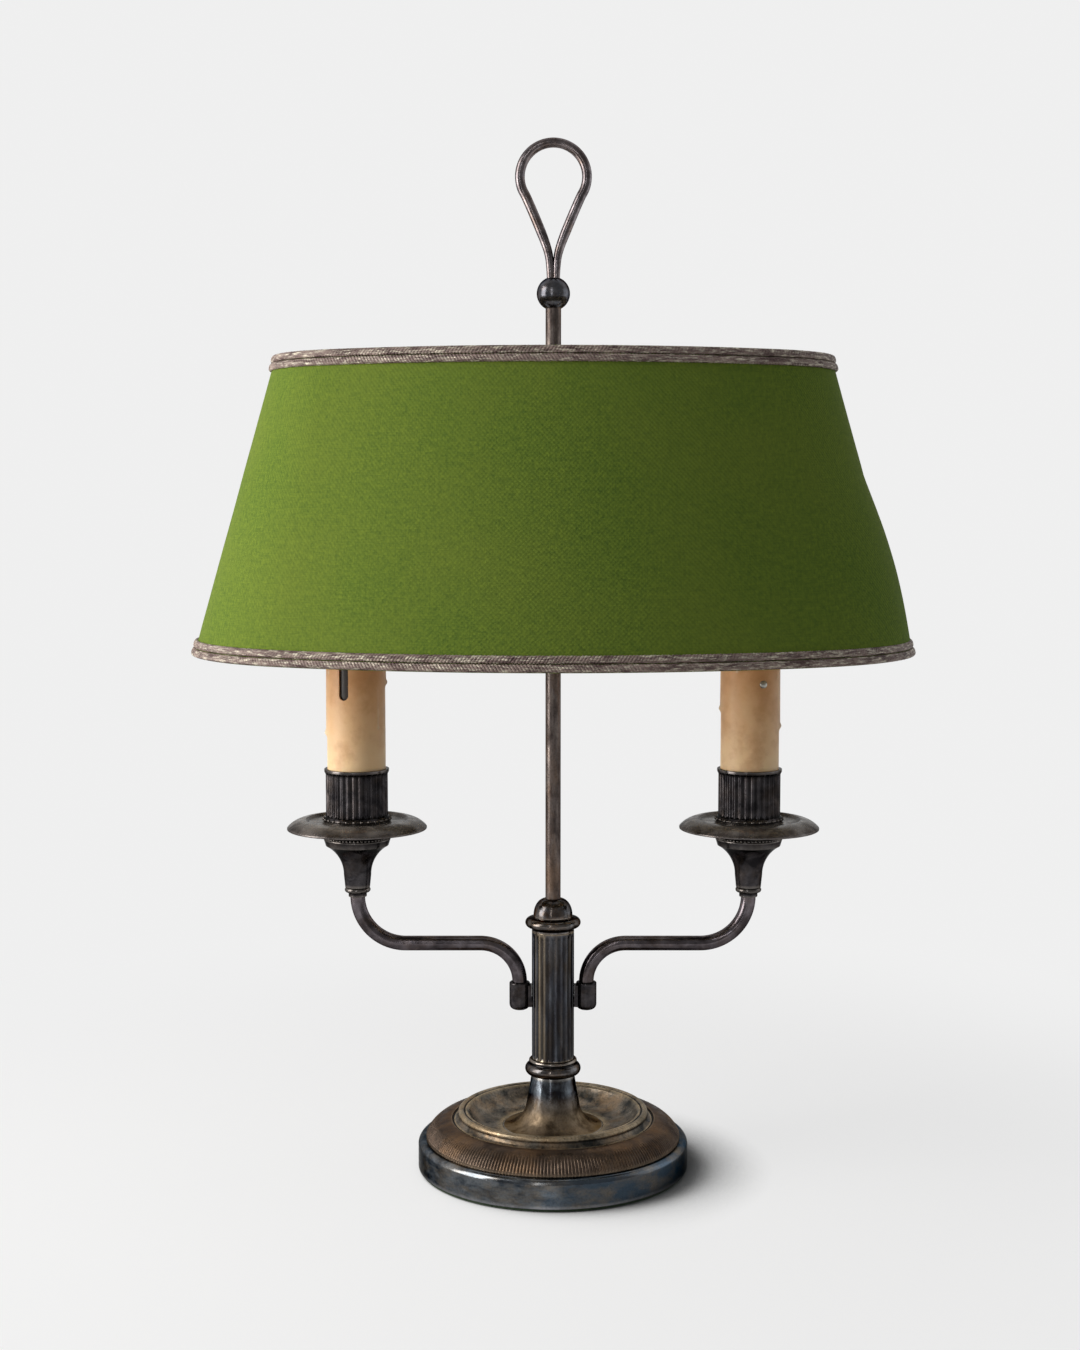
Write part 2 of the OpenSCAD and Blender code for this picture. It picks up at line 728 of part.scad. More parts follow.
module arm_socket(side) {
    color(dark_brass) mirrored(side) difference() {
        union() {
            translate([socket_x, 0, z_socket]) turned(concat(
                [[0, 0]],
                arc(socket_r - socket_round, socket_round, socket_round, 270, 360, 6),
                arc(socket_r - mouth_round, socket_h - mouth_round, mouth_round, 0, 90, 4),
                [[0, socket_h]]));
            translate([column_r + fit_gap, -socket_neck_w / 2,
                       z_socket + (socket_h - socket_neck_h) / 2])
                cube([socket_x - column_r - fit_gap, socket_neck_w, socket_neck_h]);
            along_x(inner_r, socket_x, z_socket + stem_z, stem_r);
        }
        translate([socket_x, 0, 0]) {
            hole(z_arm, z_socket + socket_h + past, arm_r + run_gap);
            hole(z_socket + socket_floor, z_arm + past, arm_r - arm_wall);
        }
        along_x(inner_r - past, socket_x, z_socket + stem_z, port_r);
    }
}

// the S-shaped path of an arm, drawn with a round section of radius r
module arm_path(r, ends) {
    translate([socket_x, 0, 0]) hole(z_arm - ends, z_bend, r);
    translate([socket_x + inner_bend, 0, z_bend]) rotate([90, 0, 0]) rotate([0, 0, 90])
        rotate_extrude(angle = 90) translate([inner_bend, 0]) circle(r = r);
    along_x(socket_x + inner_bend, candle_x - outer_bend, z_level, r);
    translate([candle_x - outer_bend, 0, z_stem]) rotate([90, 0, 0]) rotate([0, 0, 270])
        rotate_extrude(angle = 90) translate([outer_bend, 0]) circle(r = r);
    translate([candle_x, 0, 0]) hole(z_stem, z_stem + arm_insert + ends, r);
}

module arm_tube(side) {
    color(dark_brass) mirrored(side) difference() {
        arm_path(arm_r, 0);
        arm_path(arm_r - arm_wall, past);
    }
}

module at_candle(side) {
    mirrored(side) translate([candle_x, 0, 0]) children();
}

module candle_stem(side) {
    color(dark_brass) at_candle(side) difference() {
        turned(concat(
            [[0, z_stem], [stem_foot_r, z_stem], [stem_foot_r, z_stem + stem_foot_h]],
            arc(stem_bead_r - bead_r, z_bead, bead_r, -90, 90, 10),
            [[waist_r, z_waist]],
            arc(flare_start_r + stem_flare, z_flare, stem_flare, 180, 180 - stem_turn, 10),
            arc(stem_top_r - stem_ring_r, z_stem_ring, stem_ring_r, -30, 90, 6),
            [[seat_r, z_pan], [0, z_pan]]));
        hole(z_stem - past, z_stem + arm_insert + air, arm_r + fit_gap);
        hole(z_stem, z_pan + past, arm_r - arm_wall);
        hole(z_nipple - air, z_pan + past, tie_hole_r);
    }
}

module drip_pan(side) {
    width = pan_r - ridge_r;
    z_ridge = z_cup + ridge_h;
    round_r = ovolo_r(width, rim_drop);
    rim_turn = acos(width / round_r);
    color(dark_brass) at_candle(side) turned(concat(
        [[tie_hole_r, z_pan], [ridge_r - ridge_w, z_pan], [ridge_r, z_ridge - pan_t]],
        arc(ridge_r, z_ridge - round_r, round_r - pan_t, 90, rim_turn, 8),
        [[pan_r, z_ridge - rim_drop - rim_edge_h]],
        arc(ridge_r, z_ridge - round_r, round_r, rim_turn, 90, 8),
        [[ridge_r - ridge_w, z_cup], [tie_hole_r, z_cup]]));
}

module candle_cup(side) {
    color(dark_brass) at_candle(side) difference() {
        turned([[tie_hole_r, z_cup], [cup_foot_r, z_cup], [cup_foot_r, z_cup + cup_foot_h],
                [cup_r, z_cup + 2 * cup_foot_h], [cup_r, z_cup_top - 2 * cup_lip_h],
                [cup_r + cup_lip, z_cup_top - cup_lip_h], [cup_r + cup_lip, z_cup_top],
                [cup_bore_r, z_cup_top], [cup_bore_r, z_cup_floor], [tie_hole_r, z_cup_floor]]);
        for (i = [0 : cup_flutes - 1]) rotate([0, 0, i * 360 / cup_flutes])
            translate([cup_r + cup_flute_r - cup_flute_depth, 0, 0])
                hole(z_cup + 3 * cup_foot_h, z_cup_top - 3 * cup_lip_h, cup_flute_r);
    }
}

module nipple(side) {
    color(brass) at_candle(side) tube(z_nipple, z_nipple_top, tie_r, tie_r - nipple_wall);
}

module cup_nut(side) {
    color(brass) at_candle(side) hex_nut(z_cup_floor, cup_nut_h, cup_nut_r, tie_hole_r);
}

// turns what is drawn along +Y to the place of the slot or screw, near the lamp's front
module at_slot() {
    rotate([0, 0, 180 + slot_turn]) children();
}

module lampholder(side) {
    color("#2a2624") at_candle(side) difference() {
        union() {
            hole(z_leg, z_head_top - head_h + air, leg_r);
            hole(z_head_top - head_h, z_head_top, head_r);
        }
        hole(z_leg - past, z_nipple_top + air, tie_hole_r);
        hole(z_leg, z_head_top, tie_r - nipple_wall);
        hole(z_head_top - bulb_seat, z_head_top + past, cap_r + fit_gap);
        if (side == "right") at_slot()
            along_y(head_r - screw_reach - air, head_r + past, z_cup_floor + screw_z,
                    screw_r + fit_gap);
    }
}

module candle_sleeve(side) {
    color(cream) at_candle(side) difference() {
        tube(z_cup_floor, z_sleeve_top, sleeve_r, sleeve_r - sleeve_wall);
        at_slot() if (side == "left") {
            along_y(0, sleeve_r + past, z_sleeve_top - slot_h, slot_w / 2);
            translate([-slot_w / 2, 0, z_sleeve_top - slot_h])
                cube([slot_w, sleeve_r + past, slot_h + past]);
        } else {
            along_y(0, sleeve_r + past, z_cup_floor + screw_z, screw_r + fit_gap);
        }
    }
}

module right_sleeve_screw() {
    seat = sleeve_r + glue_gap;
    color("silver") at_candle("right") at_slot() {
        along_y(head_r - screw_reach, seat, z_cup_floor + screw_z, screw_r);
        translate([0, seat, z_cup_floor + screw_z]) rotate([-90, 0, 0]) turned(concat(
            [[0, 0], [screw_head_r, 0]],
            [for (a = [0 : 15 : 90]) [screw_head_r * cos(a), screw_head_h * sin(a)]]));
    }
}

module bulb_cap(side) {
    color("silver") at_candle(side) tube(z_cap, z_glass, cap_r, cap_r - glass_t);
}

// flame-shaped glass: a half ellipse below the widest height and a narrower one above it
function bulb_face(t) = concat(
    [for (a = [-70 : 10 : 0]) [(bulb_r - t) * cos(a), z_bulb_mid + (z_bulb_mid - z_glass) * sin(a)]],
    [for (a = [10 : 10 : 90])
        [(bulb_r - t) * pow(cos(a), 1.3), z_bulb_mid + (bulb_h * 0.6 - t) * sin(a)]]);
z_bulb_mid = z_glass + bulb_h * 0.4;

module bulb_glass(side) {
    outside = bulb_face(0);
    inside = bulb_face(glass_t);
    color([1, 0.97, 0.9, 0.5]) at_candle(side) turned(concat(
        [[cap_r - glass_t, z_glass], [cap_r, z_glass]], outside,
        [for (i = [len(inside) - 1 : -1 : 0]) inside[i]]));
}

// ---- shade ----

module shade_carrier() {
    color(brass) difference() {
        union() {
            hole(z_carrier, z_shoulder, carrier_r);
            hole(z_shoulder - shoulder_t, z_shoulder, shoulder_r);
            hole(z_carrier, z_ring_nut + ring_nut_t, carrier_neck_r);
        }
        hole(z_carrier - past, z_ring_nut + ring_nut_t + past, rod_r + run_gap);
        along_y(0, carrier_r + past, z_thumb, thumb_r + run_gap);
    }
}

module carrier_nut() {
    color(brass) tube(z_ring_nut, z_ring_nut + ring_nut_t, shoulder_r, carrier_neck_r + fit_gap);
}

module thumbscrew() {
    color(brass) {
        along_y(rod_r + run_gap, thumb_reach + thumb_head_t, z_thumb, thumb_r);
        along_y(thumb_reach, thumb_reach + thumb_head_t, z_thumb, thumb_head_r);
    }
}

// hub, four arms and the top ring, welded into one frame
module shade_spider() {
    wire_reach = shade_r(z_wire) - cover_t - lining_t - 2 * glue_gap - 1.1 * wire_r;
    color(brass) {
        difference() {
            union() {
                hole(z_hub, z_hub + hub_h, hub_r);
                for (turn = [0, 180]) rotate([0, 0, turn]) {
                    along_y(hub_r - weld, wire_reach, z_wire, spoke_r);
                    along_x(hub_r - weld, wire_reach + shade_longer, z_wire, spoke_r);
                }
            }
            hole(z_hub - past, z_hub + hub_h + past, carrier_neck_r + run_gap);
        }
        oval_wire(wire_reach, z_wire);
    }
}

module shade_bottom_wire() {
    z = z_shade + ring_inset;
    reach = shade_r(z) - cover_t - lining_t - 2 * glue_gap - 1.1 * wire_r;
    color(brass) oval_wire(reach, z);
}

module shade_lining() {
    near = cover_t + glue_gap;
    color("#e9e2d0") oval_wall(z_shade, z_shade_top, near, near + lining_t);
}

module shade_cover() {
    color(green) oval_wall(z_shade, z_shade_top, 0, cover_t);
}

// a band of two cords with a groove between them
module shade_trim(z0) {
    out = -glue_gap - trim_t;
    function face(z, depth) = [shade_r(z) - out - depth, z];
    inset = seam_share * (trim_t - trim_groove);
    color(braid) oval() {
        polygon([
            [shade_r(z0) + glue_gap, z0],
            face(z0, trim_groove), face(z0 + 0.15 * trim_h, 0), face(z0 + 0.35 * trim_h, 0),
            face(z0 + 0.5 * trim_h, trim_groove), face(z0 + 0.65 * trim_h, 0),
            face(z0 + 0.85 * trim_h, 0), face(z0 + trim_h, trim_groove),
            [shade_r(z0 + trim_h) + glue_gap, z0 + trim_h]]);
        wall_section(z0 + inset, z0 + trim_h - inset,
                     out + trim_groove + inset, -glue_gap - inset);
    }
}

module shade_top_trim() {
    shade_trim(z_shade_top - trim_h);
}

module shade_bottom_trim() {
    shade_trim(z_shade);
}

felt_pad();
base_foot();
base_ballast();
base_washer();
base_nut();
cord_bushing();
reeded_ring();
counter_dish();
column_neck();
lower_collar();
column();
upper_collar();
dome_cap();
tie_tube();
centre_rod();
ball_finial();
finial_loop();
arm_socket("left");  // left_socket
arm_socket("right");  // right_socket
arm_tube("left");  // left_arm_tube
candle_stem("left");  // left_candle_stem
drip_pan("left");  // left_drip_pan
candle_cup("left");  // left_candle_cup
nipple("left");  // left_nipple
cup_nut("left");  // left_cup_nut
lampholder("left");  // left_lampholder
candle_sleeve("left");  // left_candle_sleeve
bulb_cap("left");  // left_bulb_cap
bulb_glass("left");  // left_bulb_glass
arm_tube("right");  // right_arm_tube
candle_stem("right");  // right_candle_stem
drip_pan("right");  // right_drip_pan
candle_cup("right");  // right_candle_cup
nipple("right");  // right_nipple
cup_nut("right");  // right_cup_nut
lampholder("right");  // right_lampholder
candle_sleeve("right");  // right_candle_sleeve
bulb_cap("right");  // right_bulb_cap
bulb_glass("right");  // right_bulb_glass
right_sleeve_screw();
shade_carrier();
carrier_nut();
thumbscrew();
shade_spider();
shade_bottom_wire();
shade_lining();
shade_cover();
shade_top_trim();
shade_bottom_trim();
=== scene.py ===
# %% [markdown]
# # A bouillotte lamp
# Bouillotte is an old card game, and this lamp stood in the middle of its table: two candle
# arms over a round base, a dish in the base for the counters, and an oval shade that slides
# down the rod as the candles burn. This one is wired, with bulbs on card candle sleeves.
#
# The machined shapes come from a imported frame. The cells below turn, bend, weave and plate
# the pieces that the eye sees, each in the place that the frame gives it.

# %% The frame
import math

import bmesh
import bpy
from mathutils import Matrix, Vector


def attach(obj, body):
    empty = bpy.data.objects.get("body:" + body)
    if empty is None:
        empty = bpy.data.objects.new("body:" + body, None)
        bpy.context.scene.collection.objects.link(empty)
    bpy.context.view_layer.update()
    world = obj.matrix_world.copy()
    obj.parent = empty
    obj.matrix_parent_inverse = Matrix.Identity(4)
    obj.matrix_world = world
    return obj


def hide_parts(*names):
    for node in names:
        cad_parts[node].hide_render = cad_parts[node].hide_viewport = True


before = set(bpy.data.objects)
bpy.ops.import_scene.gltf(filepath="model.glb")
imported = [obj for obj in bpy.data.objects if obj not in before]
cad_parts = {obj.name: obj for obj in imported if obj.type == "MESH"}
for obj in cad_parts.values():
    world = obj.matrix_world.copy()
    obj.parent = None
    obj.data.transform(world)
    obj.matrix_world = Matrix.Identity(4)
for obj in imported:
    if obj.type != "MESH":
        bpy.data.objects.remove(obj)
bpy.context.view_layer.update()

MM = 0.001
print("pieces in the frame:", len(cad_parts))

# %% [markdown]
# ## Camera
# The lamp is seen from the front, a little above the table, from about ninety centimetres.
# A long side of 36 mm and a 52.4 mm lens give that near view its gentle perspective: the
# shade's ends draw away and the dish shows its floor. Tilting the camera down by five degrees
# is simpler than shifting the lens, and it can be repeated from any side.

# %% The camera
EYE = (-0.006, -0.8932, 0.3087)
TILT, LONG_SIDE, LENS = 5.08, 36, 52.4

camera_data = bpy.data.cameras.new("camera")
camera_data.sensor_fit = "VERTICAL"
camera_data.sensor_height = LONG_SIDE
camera_data.lens = LENS
camera = bpy.data.objects.new("camera", camera_data)
camera.location = EYE
camera.rotation_euler = (math.radians(90 - TILT), 0, 0)
bpy.context.scene.collection.objects.link(camera)
bpy.context.scene.camera = camera
print("camera height in mm:", round(EYE[2] / MM))

# %% [markdown]
# ## Helpers for every material and tree
# Shaders work in linear light, while a paint chart gives sRGB hex codes, so one function
# turns the one into the other. A second function adds a node, sets what it is told, and links
# or fills its sockets. Two more start a material and lay one colour over another. That keeps
# each recipe below as short as its idea.

# %% Colours and nodes
def colour(code):
    """An sRGB hex code as the linear colour that a shader reads."""
    parts = [int(code[i:i + 2], 16) / 255 for i in (1, 3, 5)]
    return (*(p / 12.92 if p <= 0.04045 else ((p + 0.055) / 1.055) ** 2.4 for p in parts), 1)


def node(tree, kind, inputs=(), **settings):
    """Adds a node with its settings; an input is a value, a socket, or a node, which then
    gives the first of its outputs that is in use."""
    made = tree.nodes.new(kind)
    for name, value in settings.items():
        setattr(made, name, value)
    for socket, value in dict(inputs).items():
        if isinstance(value, bpy.types.Node):
            value = next(out for out in value.outputs if out.enabled)
        if isinstance(value, bpy.types.NodeSocket):
            tree.links.new(value, made.inputs[socket])
        else:
            made.inputs[socket].default_value = value
    return made


def blank(name):
    """A new material, with its node tree emptied."""
    material = bpy.data.materials.new(name)
    material.use_nodes = True
    material.node_tree.nodes.clear()
    return material, material.node_tree


def overlaid(tree, value, low, high, under, over, most=1.0):
    """Lays a colour over another as a value goes from low to high: how much, and the result."""
    much = node(tree, "ShaderNodeMapRange", {
        "Value": value, "From Min": low, "From Max": high, "To Max": most})
    return much, node(tree, "ShaderNodeMix", {0: much, 6: under, 7: over}, data_type="RGBA")


print("brass, sRGB #8a6a3c, is linear", [round(c, 3) for c in colour("#8a6a3c")[:3]])

# %% [markdown]
# ## The old metals
# The lamp is brass that was silver plated and then left to darken. A tarnished plate has five
# things to show: slow clouds where the film is thick or thin, warm patches where the brass
# comes through, fine pits, smears that dull the shine, and edges that years of wiping have made
# paler. Hollows stay dark. Most are noises read in real millimetres, so one recipe serves every
# piece, and only its colours and sizes change. How far a point stands on an edge or in a hollow
# comes from the attribute "edge", which the turning function writes. Some pieces have a second
# film that thickens in one direction, a dry bloom, or house dust on the faces that look up. The
# column also gets a painted highlight of the window down its lit side, in the pale edge colour.
# On the foot the second film is partly painted shade and a bluish painted reflection on the side
# away from the window, and on the pans and arms the pale tone on the faces that look up is partly
# a painted reflection of the lining above.
#
# A film of sulphide also swallows light that grazes it. The specular tint sets how much a metal
# reflects near the grazing angle, and a low one keeps the outlines of the turned pieces dark.

# %% The recipe for old metal
# how far apart the pits and the smears are, in mm
PIT, SMEAR = 0.9, 4
# the pale tone on faces that look up: house dust, and a painted reflection of the lining above
DUST_AND_REFLECTION_TONE = "#847d74"


def old_metal(name, deep, film, warm, worn, rough, cloud, warmth=0.5, pits=0.35, bump=0.04,
              streak=1.0, rim=0.3, painted_highlight_side=None, film_and_painted_shade=None, dust=0.0, dust_and_reflection=0.0):
    """Tarnished plate: deep and film are the two clouds, warm the brass, worn the edges
    and any painted highlight.

    cloud is their size in mm, streak draws them out upwards, rim is the grazing reflection,
    the lit side, as an X and Y direction, gets a painted highlight of the window in the worn
    colour, and the second film gives its colour, the direction it thickens in, from where to
    where in mm, and how much rougher it is; on the foot that film is partly painted shade and a
    bluish painted reflection on the side away from the window. dust is the share of dry,
    unmetallic bloom, and the last argument is half of what house dust and a painted reflection
    of the pale lining above cover on the faces that look up."""
    material, tree = blank(name)
    place = node(tree, "ShaderNodeTexCoord").outputs["Object"]
    drawn = node(tree, "ShaderNodeVectorMath", {0: place, 1: (1, 1, 1 / streak)},
                 operation="MULTIPLY")
    clouds = node(tree, "ShaderNodeTexNoise", {
        "Vector": drawn, "Scale": 1000 / cloud, "Detail": 5, "Roughness": 0.6, "Distortion": 0.4})
    veil, plate = overlaid(tree, clouds, 0.38, 0.64, colour(deep), colour(film))
    # a second film that thickens one way; on the foot it is partly painted shade and a bluish
    # painted reflection on the side away from the window, on the neck a brown patina
    if film_and_painted_shade:
        tone, way, start, end, rougher = film_and_painted_shade
        along = node(tree, "ShaderNodeVectorMath", {0: place, 1: way}, operation="DOT_PRODUCT")
        uneven = node(tree, "ShaderNodeMath", {0: clouds, 1: 0.5 * (end - start) * MM, 2: along},
                      operation="MULTIPLY_ADD")
        film_and_shade_share, plate = overlaid(tree, uneven, (start + 0.25 * (end - start)) * MM,
                                (end + 0.25 * (end - start)) * MM, plate, colour(tone), 0.9)
    moved = node(tree, "ShaderNodeVectorMath", {0: drawn, 1: (0.31, 0.17, 0.53)})
    patches = node(tree, "ShaderNodeTexNoise", {
        "Vector": moved, "Scale": 1000 / (1.7 * cloud), "Detail": 6, "Roughness": 0.7})
    _, brassy = overlaid(tree, patches, 0.46, 0.68, plate, colour(warm), warmth)

    edge = node(tree, "ShaderNodeAttribute", attribute_name="edge").outputs["Fac"]
    crest = node(tree, "ShaderNodeMapRange", {
        "Value": edge, "From Min": 0.25, "From Max": 0.9, "To Max": 0.8})
    # the lit side gets a painted highlight of the window, laid on in the worn edge colour
    if painted_highlight_side:
        side = node(tree, "ShaderNodeVectorMath", {0: place, 1: (*painted_highlight_side, 0)},
                    operation="DOT_PRODUCT")
        painted_highlight = node(tree, "ShaderNodeMapRange", {
            "Value": side, "From Min": 9.0 * MM, "From Max": 9.7 * MM})
        crest = node(tree, "ShaderNodeMath", {0: crest, 1: painted_highlight}, operation="MAXIMUM")
    wear_and_painted_highlight = node(tree, "ShaderNodeMath", {0: crest, 1: clouds}, operation="MULTIPLY")
    wear_and_painted_highlight = node(tree, "ShaderNodeMath", {0: wear_and_painted_highlight, 1: 1.6}, operation="MULTIPLY",
                  use_clamp=True)
    wiped = node(tree, "ShaderNodeMix", {0: wear_and_painted_highlight, 6: brassy, 7: colour(worn)},
                 data_type="RGBA")

    grains = node(tree, "ShaderNodeTexNoise", {
        "Vector": place, "Scale": 1000 / PIT, "Detail": 3, "Roughness": 0.6})
    pitted = node(tree, "ShaderNodeMapRange", {
        "Value": grains, "From Min": 0.3, "From Max": 0.55, "To Min": 1 - pits, "To Max": 1})
    hollow = node(tree, "ShaderNodeMapRange", {
        "Value": edge, "From Min": -0.8, "From Max": 0, "To Min": 0.22, "To Max": 1})
    shade = node(tree, "ShaderNodeMath", {0: pitted, 1: hollow}, operation="MULTIPLY")
    final = node(tree, "ShaderNodeVectorMath", {0: wiped, "Scale": shade}, operation="SCALE")

    smears = node(tree, "ShaderNodeTexNoise", {
        "Vector": moved, "Scale": 1000 / SMEAR, "Detail": 4, "Roughness": 0.65})
    dull = node(tree, "ShaderNodeMapRange", {
        "Value": smears, "From Min": 0.35, "From Max": 0.7, "To Min": rough * 0.75,
        "To Max": rough * 1.5})
    if film_and_painted_shade:
        matt = node(tree, "ShaderNodeMath", {0: film_and_shade_share, 1: rougher, 2: 1.0},
                    operation="MULTIPLY_ADD")
        dull = node(tree, "ShaderNodeMath", {0: dull, 1: matt}, operation="MULTIPLY")
    relief = node(tree, "ShaderNodeBump", {
        "Height": grains, "Strength": bump, "Distance": 0.2 * MM})
    metal = 1 - dust
    if dust_and_reflection:
        # faces that look up get a pale tone: house dust, and a painted reflection of the pale
        # lining and shade above
        facing = node(tree, "ShaderNodeNewGeometry").outputs["Normal"]
        upward = node(tree, "ShaderNodeSeparateXYZ", {0: facing}).outputs["Z"]
        dust_and_reflection_share = node(tree, "ShaderNodeMapRange", {
            "Value": upward, "From Min": 0.55, "From Max": 0.98, "To Max": dust_and_reflection})
        dust_and_reflection_share = node(tree, "ShaderNodeMath", {0: dust_and_reflection_share, 1: veil, 2: dust_and_reflection_share},
                    operation="MULTIPLY_ADD")
        final = node(tree, "ShaderNodeMix", {0: dust_and_reflection_share, 6: final, 7: colour(DUST_AND_REFLECTION_TONE)},
                     data_type="RGBA")
        metal = node(tree, "ShaderNodeMath", {0: dust_and_reflection_share, 1: dust - 1, 2: 1 - dust},
                     operation="MULTIPLY_ADD")
    skin = node(tree, "ShaderNodeBsdfPrincipled", {
        "Base Color": final, "Metallic": metal, "Specular Tint": (rim, rim, rim, 1),
        "Roughness": dull, "Normal": relief})
    node(tree, "ShaderNodeOutputMaterial", {"Surface": skin})
    return material


# %% The lamp's metals
# silver plate on brass, buffed and gone blue grey; its darker, bluer film on the right is partly
# tarnish and partly painted shade and a bluish painted reflection, away from the window
silver_plate = old_metal("tarnished_silver_plate", "#39414a", "#7a7f84", "#857763", "#a9a9ac",
                         rough=0.19, cloud=10, warmth=0.6, pits=0.25, streak=0.45,
                         film_and_painted_shade=("#455462", (1, 0, 0), -16, 18, 0.0))
# the same plate polished on the ball: dark, with sharp highlights
polished_plate = old_metal("polished_dark_plate", "#4c4c51", "#6f7177", "#75614f", "#a8a09a",
                           rough=0.2, cloud=6, warmth=0.4, pits=0.15, bump=0.01, rim=0.2)
# the loop is lifted by, so it is paler and a little scratched
handled_plate = old_metal("handled_silver_plate", "#5c5556", "#8f8789", "#86705f", "#b8b0ac",
                          rough=0.24, cloud=5, warmth=0.4, pits=0.08, bump=0.01, rim=0.3)
# on the neck it goes brown where it flares into the dish
neck_plate = old_metal("polished_neck_plate", "#2b2a2f", "#6e757c", "#33291f", "#a8a49e",
                       rough=0.16, cloud=4.5, warmth=0.85, pits=0.25, bump=0.02, rim=0.2,
                       streak=1.6, film_and_painted_shade=("#8d7a62", (0, 0, -1), -36, -26, 1.8))
# on the collars and the dome it is duller, with brown grease left in it
dull_plate = old_metal("greasy_dark_plate", "#45403d", "#67676a", "#75604c", "#a0968c",
                       rough=0.2, cloud=4, warmth=0.7, pits=0.35, bump=0.04, rim=0.2)
# plate that was never polished, in the column's flutes, with a painted highlight of the window down
# its lit side
dark_plate = old_metal("unpolished_dark_plate", "#37363a", "#62666e", "#62543f", "#968771",
                       rough=0.2, cloud=5, warmth=0.5, pits=0.2, streak=5,
                       painted_highlight_side=(-0.62, -0.785))
# plate worn through to the brass by fingers and counters: brown gold with grey left
worn_plate = old_metal("worn_plate_on_brass", "#3d3d3a", "#958a7c", "#a88a68", "#bfa985",
                       rough=0.32, cloud=9, warmth=0.8, pits=0.5, dust=0.35)
# the milled ring round the dish, browned all over and greasy in its reeds
milled_brass = old_metal("browned_milled_brass", "#463b33", "#645549", "#7e6248", "#94826f",
                         rough=0.34, cloud=14, warmth=0.8, pits=0.3, dust=0.2)
# the arms have been wiped along their length, so they are smooth, grey and a little glossy, with a
# trace of dust and painted reflection on top
arm_brass = old_metal("wiped_brown_brass", "#474143", "#736c70", "#6b594b", "#8a8380",
                      rough=0.2, cloud=7, warmth=0.35, pits=0.08, bump=0.01, rim=0.3,
                      dust_and_reflection=0.08)
# chemically browned brass on the pans: dark, with dust in the hollows, and house dust and a painted
# reflection of the pale lining above on the faces that look up
bronzed_brass = old_metal("browned_brass", "#3a3535", "#625d5d", "#6b594b", "#77716e",
                          rough=0.27, cloud=7, warmth=0.4, pits=0.12, bump=0.02, rim=0.25,
                          dust=0.1, dust_and_reflection=0.4)
# the stems, cups and sockets are blacker and show hardly any brass
sooty_brass = old_metal("heat_blackened_brass", "#282628", "#4c494b", "#50443a", "#7d7772",
                        rough=0.2, cloud=6, warmth=0.4, pits=0.12, bump=0.02, rim=0.25,
                        dust=0.1)
# drawn brass rod under old lacquer, blotched and brown
rod_brass = old_metal("lacquered_rod_brass", "#504744", "#7b716c", "#7c6655", "#948a82",
                      rough=0.4, cloud=4, warmth=0.7, pits=0.3, streak=3, rim=0.2, dust=0.1)
# plain brass that never shows outside: nuts, nipples and the tie tube
raw_brass = old_metal("raw_turned_brass", "#a5874f", "#b59a62", "#c29a58", "#d9bf86",
                      rough=0.35, cloud=8, warmth=0.4, pits=0.2, rim=0.6)
# grey cast iron with its sand skin, under the felt
cast_iron = old_metal("sand_cast_iron", "#4a4a50", "#5c5c60", "#6a5244", "#8a8a8e",
                      rough=0.6, cloud=6, warmth=0.35, pits=0.5, bump=0.5)
# tinned steel wire, soldered into the shade's frame
frame_wire = old_metal("tinned_frame_wire", "#8a8680", "#a09c94", "#86705a", "#b8b4ac",
                       rough=0.4, cloud=5, warmth=0.4, pits=0.3, rim=0.5)
print("metals:", len(bpy.data.materials))

# %% [markdown]
# ## Turning on a lathe
# Most of the lamp is turned: an outline of radius and height, spun round an axis. A real
# turner breaks every sharp corner, and so does `eased`, because it is those small rounds that
# catch the light. The outline is closed, so that the spun shape is a solid, and `spun` writes
# how crested or hollow each ring of points is.

# %% Outlines and turned pieces
# a line shorter than this is nothing, and a point nearer to the axis than this is on it
TINY = 1e-6


def arc(x, z, radius, start, end, steps=14):
    """Points of an arc round (x, z), from one angle to another, in degrees."""
    angles = [math.radians(start + (end - start) * i / steps) for i in range(steps + 1)]
    return [(x + radius * math.cos(a), z + radius * math.sin(a)) for a in angles]


def eased(outline, radius=0.3, steps=4):
    """Rounds the sharp corners of a closed outline, as a file and a buff do."""
    soft = []
    for i, corner in enumerate(outline):
        here = Vector(corner)
        back, on = Vector(outline[i - 1]) - here, Vector(outline[(i + 1) % len(outline)]) - here
        if min(back.length, on.length) < TINY:
            continue
        turn = math.pi - back.angle(on)
        if corner[0] < TINY or turn < math.radians(18):
            soft.append(corner)
            continue
        reach = min(radius * math.tan(turn / 2), 0.42 * back.length, 0.42 * on.length)
        start, end = here + back.normalized() * reach, here + on.normalized() * reach
        soft.append(tuple(here + back.normalized() * min(1.4 * reach, 0.48 * back.length)))
        for k in range(steps + 1):
            t = k / steps
            soft.append(tuple(start * (1 - t) ** 2 + here * 2 * t * (1 - t) + end * t ** 2))
        soft.append(tuple(here + on.normalized() * min(1.4 * reach, 0.48 * on.length)))
    return soft


def filled(outline, step, beyond):
    """Adds points along the outline wherever it lies outside a radius, no more than step apart."""
    dense = []
    for i, (r, z) in enumerate(outline):
        r2, z2 = outline[(i + 1) % len(outline)]
        pieces = 1
        if min(r, r2) > beyond:
            pieces = max(1, math.ceil(math.hypot(r2 - r, z2 - z) / step))
        dense += [(r + (r2 - r) * k / pieces, z + (z2 - z) * k / pieces) for k in range(pieces)]
    return dense


def guarded(outline, reach=1.8):
    """Adds a point a little way in from both ends of every long line, where an edge's wear ends."""
    dense = []
    for i, here in enumerate(Vector(p) for p in outline):
        there = Vector(outline[(i + 1) % len(outline)])
        dense.append(tuple(here))
        if (there - here).length > 2.5 * reach:
            step = (there - here).normalized() * reach
            dense += [tuple(here + step), tuple(there - step)]
    return dense


